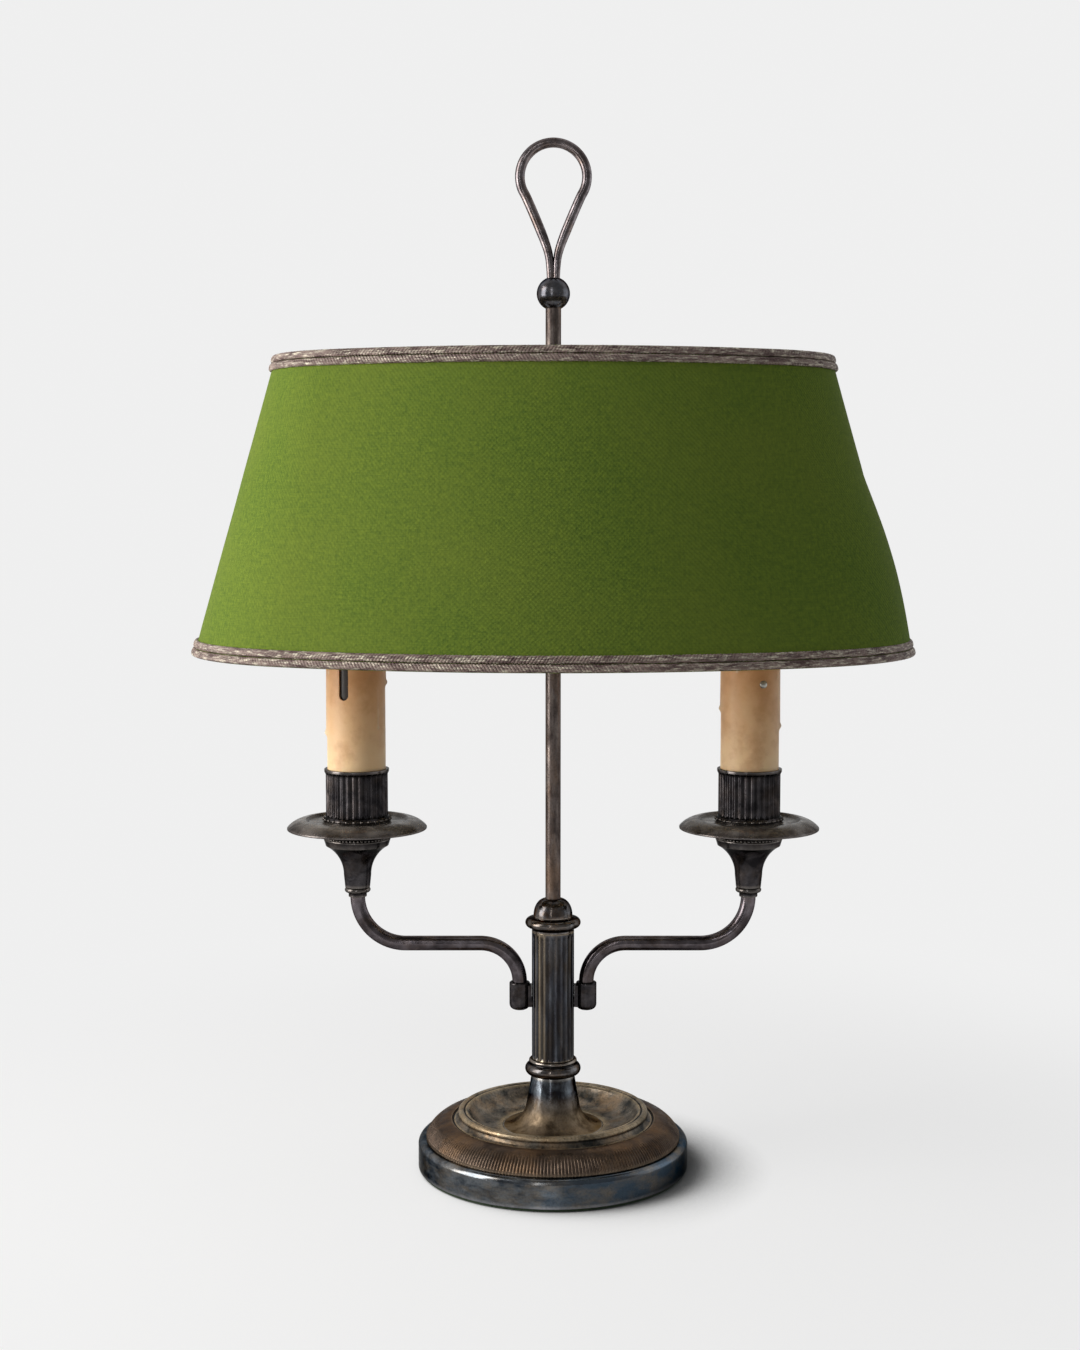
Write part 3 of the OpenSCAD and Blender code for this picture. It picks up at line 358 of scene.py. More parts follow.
def crests(outline, near=0.5):
    """How far each point stands on an edge (above 0) or in a hollow (below 0)."""
    points = [Vector(p) for p in outline]
    area = sum(a.cross(b) for a, b in zip(points, points[1:] + points[:1]))
    turns = []
    for i, here in enumerate(points):
        back, on = here - points[i - 1], points[(i + 1) % len(points)] - here
        both = back.length * on.length
        turns.append(math.atan2(back.cross(on), back.dot(on)) * (1 if area > 0 else -1)
                     if both > 1e-9 and here.x > TINY else 0)
    return [max(-1, min(1, sum(t * math.exp(-((here - p).length / near) ** 2)
                               for p, t in zip(points, turns) if (here - p).length < 3 * near)))
            for here in points]


def mesh_object(name, points, faces):
    """A new object from points in millimetres, with its faces turned outwards."""
    mesh = bpy.data.meshes.new(name)
    mesh.from_pydata([Vector(p) * MM for p in points], [], faces)
    shape = bmesh.new()
    shape.from_mesh(mesh)
    bmesh.ops.recalc_face_normals(shape, faces=shape.faces)
    shape.to_mesh(mesh)
    shape.free()
    mesh.shade_smooth()
    made = bpy.data.objects.new(name, mesh)
    bpy.context.scene.collection.objects.link(made)
    return made


def prism(name, near, far):
    """A solid between two rings of points that match one to one."""
    count = len(near)
    return mesh_object(name, near + far, [range(count), range(count, 2 * count)] + [
        (i, (i + 1) % count, count + (i + 1) % count, count + i) for i in range(count)])


def spun(name, outline, steps=144):
    """Spins a closed outline of (radius, height) round the upright axis."""
    points, rings, outline = [], [], guarded(outline)
    for r, z in outline:
        count = steps if r > TINY else 1
        rings.append(range(len(points), len(points) + count))
        points += [(r * math.cos(2 * math.pi * i / steps),
                    r * math.sin(2 * math.pi * i / steps), z) for i in range(count)]
    faces = []
    for a, b in zip(rings, rings[1:] + rings[:1]):
        for i in range(steps if max(len(a), len(b)) > 1 else 0):
            j = (i + 1) % steps
            face = [a[i % len(a)], a[j % len(a)], b[j % len(b)], b[i % len(b)]]
            faces.append(list(dict.fromkeys(face)))
    made = mesh_object(name, points, faces)
    edge = made.data.attributes.new("edge", "FLOAT", "POINT")
    for ring, crest in zip(rings, crests(outline)):
        for i in ring:
            edge.data[i].value = crest
    return made


def placed(piece, material, body, slot, *nodes):
    """Finishes a piece: its material, its body and the frame's nodes it stands for. Its slot is not
    used.
    """
    if material:
        piece.data.materials.clear()
        piece.data.materials.append(material)
    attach(piece, body)
    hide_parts(*nodes)
    return piece


def shifted(piece, x):
    """Moves the mesh itself along X, so that the object stays at the origin."""
    for vertex in piece.data.vertices:
        vertex.co.x += x * MM
    return piece


print("a 90 degree corner becomes", len(eased([(1, 0), (9, 0), (9, 9), (1, 9)])) // 4, "points")

# %% [markdown]
# ## Running a geometry tree
# Reeds, flutes, beads and cords repeat by a rule, so Geometry Nodes make them. Each tree has
# named inputs for its sizes. The result is turned into a plain mesh straight away, because
# the frame wants meshes and a live modifier would be evaluated again at every step.

# %% Trees and plain meshes
def tree_with(name, **inputs):
    """A geometry tree with a geometry input and output and the named inputs."""
    tree = bpy.data.node_groups.new(name, "GeometryNodeTree")
    sockets = {"Geometry": "Geometry", **inputs}
    for label, kind in sockets.items():
        tree.interface.new_socket(label, in_out="INPUT", socket_type="NodeSocket" + kind)
    tree.interface.new_socket("Geometry", in_out="OUTPUT", socket_type="NodeSocketGeometry")
    return tree, node(tree, "NodeGroupInput").outputs


def ending(tree, geometry, material):
    """Every tree ends the same way: instances made real, shaded smooth, with its material."""
    real = node(tree, "GeometryNodeRealizeInstances", {0: geometry})
    smooth = node(tree, "GeometryNodeSetShadeSmooth", {0: real})
    painted = node(tree, "GeometryNodeSetMaterial", {0: smooth, "Material": material})
    node(tree, "NodeGroupOutput", {0: painted})


def worked(piece, tree, **values):
    """Adds the tree to the piece as a modifier, each input set by its identifier."""
    modifier = piece.modifiers.new(tree.name, "NODES")
    modifier.node_group = tree
    for item in tree.interface.items_tree:
        if item.in_out == "INPUT" and item.name in values:
            modifier[item.identifier] = values[item.name]
    return piece


def plain(piece):
    """The piece as its modifiers leave it, as a plain mesh object of the same name."""
    depsgraph = bpy.context.evaluated_depsgraph_get()
    mesh = bpy.data.meshes.new_from_object(piece.evaluated_get(depsgraph), depsgraph=depsgraph)
    name = piece.name
    bpy.data.objects.remove(piece)
    mesh.name = name
    made = bpy.data.objects.new(name, mesh)
    bpy.context.scene.collection.objects.link(made)
    print(name, "has", len(mesh.vertices), "points")
    return made


def cut(piece, cutter):
    """Takes the cutter's shape out of the piece and removes the cutter."""
    modifier = piece.modifiers.new("cut", "BOOLEAN")
    modifier.object = cutter
    modifier.solver = "EXACT"
    made = plain(piece)
    bpy.data.objects.remove(cutter)
    return made


# %% [markdown]
# ## Reeds and flutes
# A reed is a small round rib, and a flute is its opposite, a round channel with flat land left
# between. Both are cut by stepping a wheel round the piece. The tree does the same: it reads
# each point's angle round the axis, finds where the point lies in its own rib, and moves it
# in along its normal. Two heights and a fade say where the cutter enters and leaves, and a
# radius keeps the bore untouched.

# %% The tree for ribs
ribs, given = tree_with("ribs", Count="Int", Depth="Float", Share="Float", Reeded="Bool",
                        Low="Float", High="Float", Fade="Float", Inside="Float", Grime="Float",
                        Material="Material")
spot = node(ribs, "ShaderNodeSeparateXYZ", {0: node(ribs, "GeometryNodeInputPosition")}).outputs
# the angle in ribs, of which only the part within one rib is kept
within = node(ribs, "ShaderNodeMath", {0: spot["Y"], 1: spot["X"]}, operation="ARCTAN2")
for operation, number in (("DIVIDE", 2 * math.pi), ("MULTIPLY", given["Count"]),
                          ("FLOORED_MODULO", 1.0)):
    within = node(ribs, "ShaderNodeMath", {0: within, 1: number}, operation=operation)
# from 0 in the middle of a rib to 1 at its two sides
aside = node(ribs, "ShaderNodeMath", {0: within, 1: 2.0, 2: -1.0}, operation="MULTIPLY_ADD")
aside = node(ribs, "ShaderNodeMath", {0: aside}, operation="ABSOLUTE")
across = node(ribs, "ShaderNodeMath", {0: aside, 1: given["Share"]}, operation="DIVIDE")
squared = node(ribs, "ShaderNodeMath", {0: across, 1: across}, operation="MULTIPLY")
rest = node(ribs, "ShaderNodeMath", {0: 1.0, 1: squared}, operation="SUBTRACT", use_clamp=True)
channel = node(ribs, "ShaderNodeMath", {0: rest}, operation="SQRT")
reed = node(ribs, "ShaderNodeMath", {0: 1.0, 1: channel}, operation="SUBTRACT")
hollowed = node(ribs, "GeometryNodeSwitch", {
    "Switch": given["Reeded"], "False": channel, "True": reed}, input_type="FLOAT")
# the cutter fades in above the low end and out below the high one, and spares the bore
for end, inwards in (("Low", "ADD"), ("High", "SUBTRACT")):
    full = node(ribs, "ShaderNodeMath", {0: given[end], 1: given["Fade"]}, operation=inwards)
    entered = node(ribs, "ShaderNodeMapRange", {
        "Value": spot["Z"], "From Min": given[end], "From Max": full},
        interpolation_type="SMOOTHSTEP")
    hollowed = node(ribs, "ShaderNodeMath", {0: hollowed, 1: entered}, operation="MULTIPLY")
flat = node(ribs, "ShaderNodeCombineXYZ", {0: spot["X"], 1: spot["Y"]})
reach = node(ribs, "ShaderNodeVectorMath", {0: flat}, operation="LENGTH")
outside = node(ribs, "ShaderNodeMath", {0: reach, 1: given["Inside"]}, operation="GREATER_THAN")
hollowed = node(ribs, "ShaderNodeMath", {0: hollowed, 1: outside}, operation="MULTIPLY")
inward = node(ribs, "GeometryNodeInputNormal")
cut_depth = node(ribs, "ShaderNodeMath", {0: hollowed, 1: given["Depth"]}, operation="MULTIPLY")
for factor in (cut_depth, -1.0):
    inward = node(ribs, "ShaderNodeVectorMath", {0: inward, "Scale": factor}, operation="SCALE")
# grime settles in the hollows, so there the edge attribute falls
before = node(ribs, "GeometryNodeInputNamedAttribute", {"Name": "edge"}, data_type="FLOAT")
grime = node(ribs, "ShaderNodeMath", {0: hollowed, 1: given["Grime"]}, operation="MULTIPLY")
grimy = node(ribs, "ShaderNodeMath", {0: before, 1: grime}, operation="SUBTRACT")
stained = node(ribs, "GeometryNodeStoreNamedAttribute", {
    0: given["Geometry"], "Name": "edge", "Value": grimy}, data_type="FLOAT", domain="POINT")
moved = node(ribs, "GeometryNodeSetPosition", {0: stained, "Offset": inward})
ending(ribs, moved, given["Material"])
print("ribs tree:", len(ribs.nodes), "nodes")

# %% [markdown]
# ## Rows of beads
# Two rows of tiny beads are soldered on, one at the foot of each candle cup and one under each
# pan. A circle of points carries a coarse round bead on each; the beads join the turned piece,
# so that they move with it. A bead is only a few pixels wide in a render, so eighty faces are
# plenty.

# %% The tree for beads
beads, given = tree_with("beads", Count="Int", Ring="Float", Height="Float", Size="Float",
                         Material="Material")
circle = node(beads, "GeometryNodeMeshCircle", {
    "Vertices": given["Count"], "Radius": given["Ring"]})
lift = node(beads, "ShaderNodeCombineXYZ", {2: given["Height"]})
raised = node(beads, "GeometryNodeSetPosition", {0: circle, "Offset": lift})
bead = node(beads, "GeometryNodeMeshIcoSphere", {"Radius": given["Size"], "Subdivisions": 2})
row = node(beads, "GeometryNodeInstanceOnPoints", {"Points": raised, "Instance": bead})
real_row = node(beads, "GeometryNodeRealizeInstances", {0: row})
# beads stand proud, so the cloth that wipes them keeps them bright
bright = node(beads, "GeometryNodeStoreNamedAttribute", {
    0: real_row, "Name": "edge", "Value": 1.0}, data_type="FLOAT", domain="POINT")
both = node(beads, "GeometryNodeJoinGeometry", {0: bright})
beads.links.new(given["Geometry"], both.inputs[0])
ending(beads, both, given["Material"])
print("beads tree:", len(beads.nodes), "nodes")

# %% [markdown]
# ## The base
# The base is a shallow drum of plated brass over an iron weight. Its wall is spun with a soft
# shoulder. On it lies a rounded ring whose outer part is milled with fine reeds, about one
# and a half millimetres apart, and in the ring sits the counter dish with its rolled lip.

# %% Foot, reeded ring and dish
# the radius of the bore for the tie tube, and how high the pieces threaded on it meet, in mm
BORE = 5.05
RING_Z, DISH_RIM_Z, NECK_Z = 14.3, 22.4, 18
# how many reeds, and the radius inside which the ring is left smooth
REEDS, REEDS_INSIDE = 236, 48
INLET_R, INLET_Z = 4.45, 7.1

foot_wall = spun("base_foot_wall", eased(
    [(60.3, 1.2), (62.5, 1.2)] + arc(59.7, 11.5, 2.8, 0, 90)
    + [(44, RING_Z), (44, 12.3), (60.3, 12.3)]), steps=256)
inlet = [2 * math.pi * i / 48 for i in range(48)]
foot_wall = cut(foot_wall, prism("inlet_drill", *(
    [(INLET_R * math.cos(a), y, INLET_Z + INLET_R * math.sin(a)) for a in inlet]
    for y in (56, 66))))
foot_wall.data.set_sharp_from_angle(angle=math.radians(40))
placed(foot_wall, silver_plate, "stand", "silver_plate", "base_foot")

ring = spun("reeded_base_ring", eased(
    [(41.07, RING_Z), (58.8, RING_Z)] + arc(46.9, 9.57, 13.43, 27.62, 90, 44)
    + [(46.5, DISH_RIM_Z), (41.07, DISH_RIM_Z)], radius=0.2), steps=REEDS * 6)
worked(ring, ribs, Count=REEDS, Depth=0.55 * MM, Share=1.0, Reeded=True, Low=13.9 * MM,
       High=DISH_RIM_Z * MM, Fade=2.6 * MM, Inside=REEDS_INSIDE * MM, Grime=0.5,
       Material=milled_brass)
placed(plain(ring), None, "stand", "worn_plate", "reeded_ring")

# the lip is a roll, a fine groove and a ridge, and a cove runs down from it to the ring
dish = spun("counter_dish_bowl", eased(
    [(BORE, 16.5)] + arc(28, 32, 15.5, 270, 321.7) + [(42.55, DISH_RIM_Z), (45.9, 22.45)]
    + arc(45.9, 24.6, 2.1, 268, 190, 10) + arc(42.5, 25.7, 1.5, -40, 135)
    + [(41.15, 26.3)] + arc(40.25, 26.0, 0.8, 30, 130, 8) + arc(28, 32, 12.5, 331, 270)
    + [(23.35, 19.5), (23.35, NECK_Z), (BORE, NECK_Z)]), steps=256)
placed(dish, worn_plate, "stand", "worn_plate", "counter_dish")

# %% [markdown]
# ## The column
# Five turned pieces are threaded on the tie tube: a neck that flares out of the dish, a collar
# with a fat ring, the fluted column, a collar with a thin ring, and a dome that closes them.
# The flutes stop just short of the collars, as a cutter has to.

# %% Neck, collars, column and dome
COLLAR_Z, FLUTES_Z, FLUTES_END_Z, DOME_Z, ROD_Z = 43.5, 51, 111, 117.5, 121.5
FLUTES, COLUMN_R = 22, 9.75

neck = spun("column_neck_flare", eased(
    [(BORE, NECK_Z), (23.3, NECK_Z)] + arc(23.3, 30.5, 11, 270, 190, 22)
    + [(9.9, COLLAR_Z), (BORE, COLLAR_Z)]), steps=192)
placed(neck, neck_plate, "stand", "silver_plate", "column_neck")

lower_collar = spun("lower_collar_ring", eased(
    [(BORE, COLLAR_Z)] + arc(10.1, 46.3, 2.8, -88, 70, 18) + arc(10.2, 50.1, 0.9, -50, 90, 8)
    + [(7.45, FLUTES_Z), (7.45, 54), (BORE, 54)], radius=0.15), steps=160)
placed(lower_collar, dull_plate, "stand", "silver_plate", "lower_collar")

column = spun("fluted_column", filled(eased(
    [(7.5, FLUTES_Z), (COLUMN_R, FLUTES_Z), (COLUMN_R, FLUTES_END_Z), (7.5, FLUTES_END_Z)],
    radius=0.15), 0.8, beyond=9), FLUTES * 14)
worked(column, ribs, Count=FLUTES, Depth=0.5 * MM, Share=0.7, Reeded=False, Low=51.2 * MM,
       High=109.6 * MM, Fade=0.9 * MM, Inside=9 * MM, Grime=0.55, Material=dark_plate)
placed(plain(column), None, "stand", "silver_plate", "column")

upper_collar = spun("upper_collar_ring", eased(
    [(BORE, 108), (7.45, 108), (7.45, FLUTES_END_Z), (COLUMN_R, FLUTES_END_Z),
     (COLUMN_R, 111.85)] + arc(10.6, 114.9, 2.2, -90, 90, 18)
    + [(9, 117.3), (9, DOME_Z), (BORE, DOME_Z)], radius=0.15), steps=160)
placed(upper_collar, dull_plate, "stand", "silver_plate", "upper_collar")

dome_curve = [(3.55 + 5.45 * math.cos(math.radians(a)), 118.3 + 7.7 * math.sin(math.radians(a)))
              for a in range(0, 91, 6)]
dome = spun("dome_cap_turning", eased(
    [(0, 120.5), (BORE, 120.5), (BORE, DOME_Z), (9, DOME_Z)] + dome_curve
    + [(3.55, ROD_Z), (0, ROD_Z)], radius=0.2), steps=128)
placed(dome, dull_plate, "stand", "silver_plate", "dome_cap")

# %% [markdown]
# ## Rod, ball and loop
# The shade slides on a plain drawn rod. A ball closes it, and out of the ball rises a loop of
# wire to lift the lamp by. The loop is one wire bent round a mandrel with both ends brazed
# side by side into the ball, so it is drawn as a path and given a round section: `bent` walks
# along the path and carries the section with it, without letting it twist.

# %% Bent rods
def bent(name, path, radii, sides=20):
    """A round bar bent along a path, with closed ends; radii is one radius or one per point."""
    path = [Vector(p) for p in path]
    radii = radii if hasattr(radii, "__len__") else [radii] * len(path)
    ahead = (path[1] - path[0]).normalized()
    side = ahead.orthogonal().normalized()
    points, last = [], len(path) - 1
    for i, here in enumerate(path):
        along = (path[min(i + 1, last)] - path[max(i - 1, 0)]).normalized()
        side = (side - along * side.dot(along)).normalized()
        other = along.cross(side)
        for k in range(sides):
            a = 2 * math.pi * k / sides
            points.append(here + (side * math.cos(a) + other * math.sin(a)) * radii[i])
    faces = [range(sides), range(last * sides, (last + 1) * sides)]
    for i in range(last):
        for k in range(sides):
            j = (k + 1) % sides
            faces.append((i * sides + k, i * sides + j, (i + 1) * sides + j, (i + 1) * sides + k))
    made = mesh_object(name, points, faces)
    made.data.set_sharp_from_angle(angle=math.radians(50))
    return made


def smooth_path(points, spacing=0.5):
    """Evenly spaced points on a smooth curve through the given ones."""
    curve = [Vector(p) for p in points]
    for _ in range(4):
        finer = [curve[0]]
        for a, b in zip(curve, curve[1:]):
            finer += [a.lerp(b, 0.25), a.lerp(b, 0.75)]
        curve = finer + [curve[-1]]
    even, left = [curve[0]], spacing
    for a, b in zip(curve, curve[1:]):
        step = (b - a).length
        while left <= step:
            even.append(a.lerp(b, left / step))
            left += spacing
        left -= step
    return even + [curve[-1]]


# %% Rod, ball and loop
ROD_R, ROD_END_Z = 3.5, 399.53
BALL_R, BALL_Z = 7.5, 401.03
LOOP_R, LOOP_Z = 15.0, 452.53

rod = spun("centre_rod_bar", eased([(0, ROD_Z), (ROD_R, ROD_Z), (ROD_R, ROD_END_Z),
                                    (0, ROD_END_Z)]), steps=64)
placed(rod, rod_brass, "stand", "rod_brass", "centre_rod")

# the ball is bored from below for the rod and from above for the loop's two legs
top_turn, low_turn = [math.degrees(math.acos(r / BALL_R)) for r in (3.05, 3.55)]
ball = spun("ball_finial_turning", eased(
    arc(0, BALL_Z, BALL_R, -low_turn, top_turn, 40)
    + [(3.05, 402.6), (0, 402.6), (0, 399.6), (3.55, 399.6)], radius=0.2), steps=96)
placed(ball, polished_plate, "stand", "silver_plate", "ball_finial")

right_leg = [(1.35, 0, 404), (1.35, 0, 409), (1.45, 0, 413), (1.9, 0, 418), (3.4, 0, 423),
             (5.6, 0, 428.5), (7.9, 0, 434), (10.2, 0, 439.3), (12.3, 0, 444)]
round_part = [(LOOP_R * math.cos(math.radians(a)), 0, LOOP_Z + LOOP_R * math.sin(math.radians(a)))
              for a in range(-24, 205, 6)]
loop_path = smooth_path(right_leg + round_part + [(-x, y, z) for x, y, z in right_leg[::-1]])
# the wire is thinner where its ends go into the ball
loop_radii = [1.55 + 0.65 * max(0, min(1, (p.z - 406) / 22)) for p in loop_path]
loop = bent("finial_loop_wire", loop_path, loop_radii)
placed(loop, handled_plate, "stand", "silver_plate", "finial_loop")

# %% [markdown]
# ## Arms, stems, pans and cups
# Each arm is a brass tube bent to an S. Its lower end drops into a socket on the column, so
# the arm swings, and its upper end carries a trumpet stem, a saucer to catch drips, and a
# fluted cup. The two arms are the same, so each piece is made at the middle and moved out.

# %% The outlines of an arm's pieces
CANDLE_X = 90
CUP_FLUTES = 32
# where the stem, pan, cup and card sleeve stand, and where the cup ends
STEM_Z, PAN_Z, CUP_Z, CARD_Z, LIP_Z = 127, 160.87, 162.07, 164.57, 186.47

arm_path = ([(15.4, 0, 79), (15.4, 0, 83)] + [(x, 0, z) for x, z in arc(33.4, 87, 18, 180, 90, 22)]
            + [(x, 0, 105) for x in (42, 51, 60)]
            + [(x, 0, z) for x, z in arc(68, STEM_Z, 22, 270, 360, 26)]
            + [(CANDLE_X, 0, 130), (CANDLE_X, 0, 133)])
stem_outline = eased(
    [(3.45, STEM_Z), (4.2, STEM_Z), (4.2, 129)] + arc(4.75, 130.2, 1.2, -90, 90, 10)
    + [(5.7, 131.4)] + arc(21.8, 137.3, 15.5, 180, 118.5, 26)
    + arc(14.4, 153.87, 0.9, -30, 90, 8)
    + [(19, PAN_Z), (0, PAN_Z), (0, 133.3), (3.45, 133.3)], radius=0.2)
pan_outline = eased(
    [(BORE, PAN_Z), (21.9, PAN_Z), (23.5, CUP_Z)] + arc(23.5, 152.06, 10.01, 90, 40.7, 16)
    + [(32, 158.57)] + arc(23.5, 152.06, 11.21, 40.7, 90, 20)
    + [(21.9, CUP_Z), (BORE, CUP_Z)], radius=0.3)
cup_outline = filled(eased(
    [(BORE, CUP_Z), (15.3, CUP_Z), (15.3, 163.47), (14.2, 164.87), (14.2, 184.07),
     (14.8, 185.27), (14.8, LIP_Z), (13.4, LIP_Z), (13.4, CARD_Z), (BORE, CARD_Z)],
    radius=0.2), 0.7, beyond=14)
print("points along the stem:", len(stem_outline), "pan:", len(pan_outline))

# %% Both arms
for side, way in (("left", -1), ("right", 1)):
    body = side + "_arm"
    tube = bent(side + "_arm_bend", [(way * x, y, z) for x, y, z in arm_path], 3.4, sides=32)
    placed(tube, arm_brass, body, "bronzed_brass", side + "_arm_tube")
    stem = spun(side + "_trumpet_stem", stem_outline, steps=112)
    worked(stem, beads, Count=56, Ring=15.0 * MM, Height=154.85 * MM, Size=0.65 * MM,
           Material=sooty_brass)
    placed(shifted(plain(stem), way * CANDLE_X), None, body, "bronzed_brass",
           side + "_candle_stem")
    pan = spun(side + "_drip_saucer", pan_outline, steps=192)
    placed(shifted(pan, way * CANDLE_X), bronzed_brass, body, "bronzed_brass",
           side + "_drip_pan")
    cup = spun(side + "_fluted_cup", cup_outline, steps=CUP_FLUTES * 12)
    worked(cup, ribs, Count=CUP_FLUTES, Depth=0.55 * MM, Share=0.75, Reeded=False,
           Low=164.6 * MM, High=185.2 * MM, Fade=0.8 * MM, Inside=14 * MM, Grime=0.5,
           Material=sooty_brass)
    worked(cup, beads, Count=28, Ring=15.2 * MM, Height=163.42 * MM, Size=0.8 * MM,
           Material=sooty_brass)
    placed(shifted(plain(cup), way * CANDLE_X), None, body, "bronzed_brass",
           side + "_candle_cup")

# %% [markdown]
# ## Candle sleeves
# The candles are tubes of waxed card with run wax on them. Wax runs down in a thin thread that
# ends in a drop. `drops` lists each one by its angle, the height of its drop, the length of
# its thread and its size; the wall swells by the largest of them. The card is cream, browned by
# the heat of the bulb towards the top, and a little light goes into it, so it has subsurface.

# %% Waxed card
def waxed_card():
    """Card dipped in wax: soft, satin, cream going brown, with a faint cloud in it."""
    material, tree = blank("waxed_card")
    place = node(tree, "ShaderNodeTexCoord").outputs["Object"]
    height = node(tree, "ShaderNodeSeparateXYZ", {0: place}).outputs["Z"]
    stains = node(tree, "ShaderNodeTexNoise", {
        "Vector": place, "Scale": 1000 / 14, "Detail": 5, "Roughness": 0.6})
    # the brown creeps down unevenly, so the stains move the height that it is read at
    uneven = node(tree, "ShaderNodeMath", {0: stains, 1: 50 * MM, 2: height},
                  operation="MULTIPLY_ADD")
    _, aged = overlaid(tree, uneven, 212 * MM, 268 * MM, colour("#fdd6a6"), colour("#da9a5e"))
    _, stained = overlaid(tree, stains, 0.48, 0.7, aged, colour("#cb9464"), 0.5)
    # run wax is paler than the card
    run = node(tree, "ShaderNodeAttribute", attribute_name="wax").outputs["Fac"]
    _, waxen = overlaid(tree, run, 0, 0.9, stained, colour("#f3e6cb"), 0.75)
    fibres = node(tree, "ShaderNodeTexNoise", {
        "Vector": place, "Scale": 1000 / 1.4, "Detail": 3})
    relief = node(tree, "ShaderNodeBump", {
        "Height": fibres, "Strength": 0.12, "Distance": 0.3 * MM})
    skin = node(tree, "ShaderNodeBsdfPrincipled", {
        "Base Color": waxen, "Roughness": 0.5, "Subsurface Weight": 0.15,
        "Subsurface Scale": 2 * MM, "Subsurface Radius": (1.0, 0.55, 0.3), "Normal": relief})
    node(tree, "ShaderNodeOutputMaterial", {"Surface": skin})
    return material


candle_card = waxed_card()
print("waxed card:", len(candle_card.node_tree.nodes), "nodes")

# %% Run wax
CARD_R, CARD_BORE, CARD_TOP_Z = 13.3, 12.3, 249.57
# below this height the sleeve stands in its cup, and is clean
WAX_Z = 188


def wax(drops, angle, z):
    """How far the wax stands out at an angle in degrees and a height, in millimetres."""
    thickest = 0
    for at, low, long, size in drops:
        away = (angle - at + 180) % 360 - 180
        side = math.radians(away) * CARD_R / (1.3 * size)
        up = (z - low) / (1.1 * size)
        drop = size * math.exp(-side ** 2 - (up if up < 0 else up * 0.7) ** 2)
        thread = 0
        if 0 < z - low < long:
            thread = 0.45 * size * math.exp(-(side * 1.4) ** 2) * (1 - (z - low) / long) ** 0.5
        thickest = max(thickest, drop, thread)
    return thickest


def sleeve_with_wax(name, drops, steps=180, rows=110):
    """A card tube with a cut top and bottom, swollen where wax has run."""
    turns = [2 * math.pi * i / steps for i in range(steps)]
    points, faces = [], []
    for z in [CARD_Z + (CARD_TOP_Z - CARD_Z) * i / rows for i in range(rows + 1)]:
        for i in range(steps):
            a = 360 * i / steps
            r = CARD_R + wax(drops, a, z) * (1 if z > WAX_Z else 0)
            points.append((r * math.cos(math.radians(a)), r * math.sin(math.radians(a)), z))
    for z in (CARD_Z, CARD_TOP_Z):
        points += [(CARD_BORE * math.cos(a), CARD_BORE * math.sin(a), z) for a in turns]
    low, high = (rows + 1) * steps, (rows + 2) * steps
    for i in range(steps):
        j = (i + 1) % steps
        faces += [(k * steps + i, k * steps + j, (k + 1) * steps + j, (k + 1) * steps + i)
                  for k in range(rows)]
        faces += [(i, j, low + j, low + i), (low + i, low + j, high + j, high + i),
                  (rows * steps + i, rows * steps + j, high + j, high + i)]
    made = mesh_object(name, points, faces)
    run = made.data.attributes.new("wax", "FLOAT", "POINT")
    for value, (x, y, _) in zip(run.data, points):
        value.value = max(0, math.hypot(x, y) - CARD_R)
    return made


# %% Sleeves
SLOT_HALF, SLOT_FLOOR_Z, SLOT_TURN = 2.3, 221.07, 20

left_drops = [(181, 203, 44, 1.25), (359, 226, 20, 1.1), (322, 206, 20, 0.6),
              (128, 216, 30, 0.9), (70, 196, 50, 1.0), (30, 208, 38, 0.8),
              (95, 228, 20, 0.8), (210, 231, 16, 0.6)]
right_drops = [(181, 214, 34, 1.1), (357, 206, 42, 1.1), (12, 221, 26, 0.8), (60, 199, 48, 1.0),
               (110, 222, 26, 0.9), (150, 205, 42, 0.8), (238, 232, 15, 0.6),
               (330, 229, 18, 0.6)]
for side, way, drops in (("left", -1, left_drops), ("right", 1, right_drops)):
    sleeve = sleeve_with_wax(side + "_card_sleeve", drops)
    if side == "left":
        # a round-ended slot, open at the top, a little round from the front
        turn = math.radians(-90 - SLOT_TURN)
        shape = [(SLOT_HALF * math.cos(math.radians(a)),
                  SLOT_FLOOR_Z + SLOT_HALF * math.sin(math.radians(a)))
                 for a in range(180, 361, 12)] + [(SLOT_HALF, 252), (-SLOT_HALF, 252)]
        far = Vector((math.cos(turn), math.sin(turn), 0))
        wide = Vector((-math.sin(turn), math.cos(turn), 0))
        sleeve = cut(sleeve, prism("slot_cutter", *(
            [far * d + wide * w + Vector((0, 0, z)) for w, z in shape] for d in (6, 18))))
    sleeve.data.set_sharp_from_angle(angle=math.radians(45))
    placed(shifted(sleeve, way * CANDLE_X), candle_card, side + "_arm", "candle_card",
           side + "_candle_sleeve")

# %% [markdown]
# ## The shade
# The shade is a frame of wire with a lining and a cover of green cloth stretched over it. Its
# plan is an oval of four arcs, two wide ones at the front and back and two close ones at the
# ends, and every line up its side leans in by the same angle. So the cover follows one rule: an
# upright line swept round the oval.
# Curve to Mesh does exactly that. Along the way each point keeps how far round and how far up
# it is, in metres, and that becomes the UV map that the weave is drawn in.

# %% The oval
LOW_R, HIGH_R, SHADE_LOW, SHADE_HIGH = 108.3, 70.4, 239.7, 372.9
SLOPE = (LOW_R - HIGH_R) / (SHADE_HIGH - SHADE_LOW)
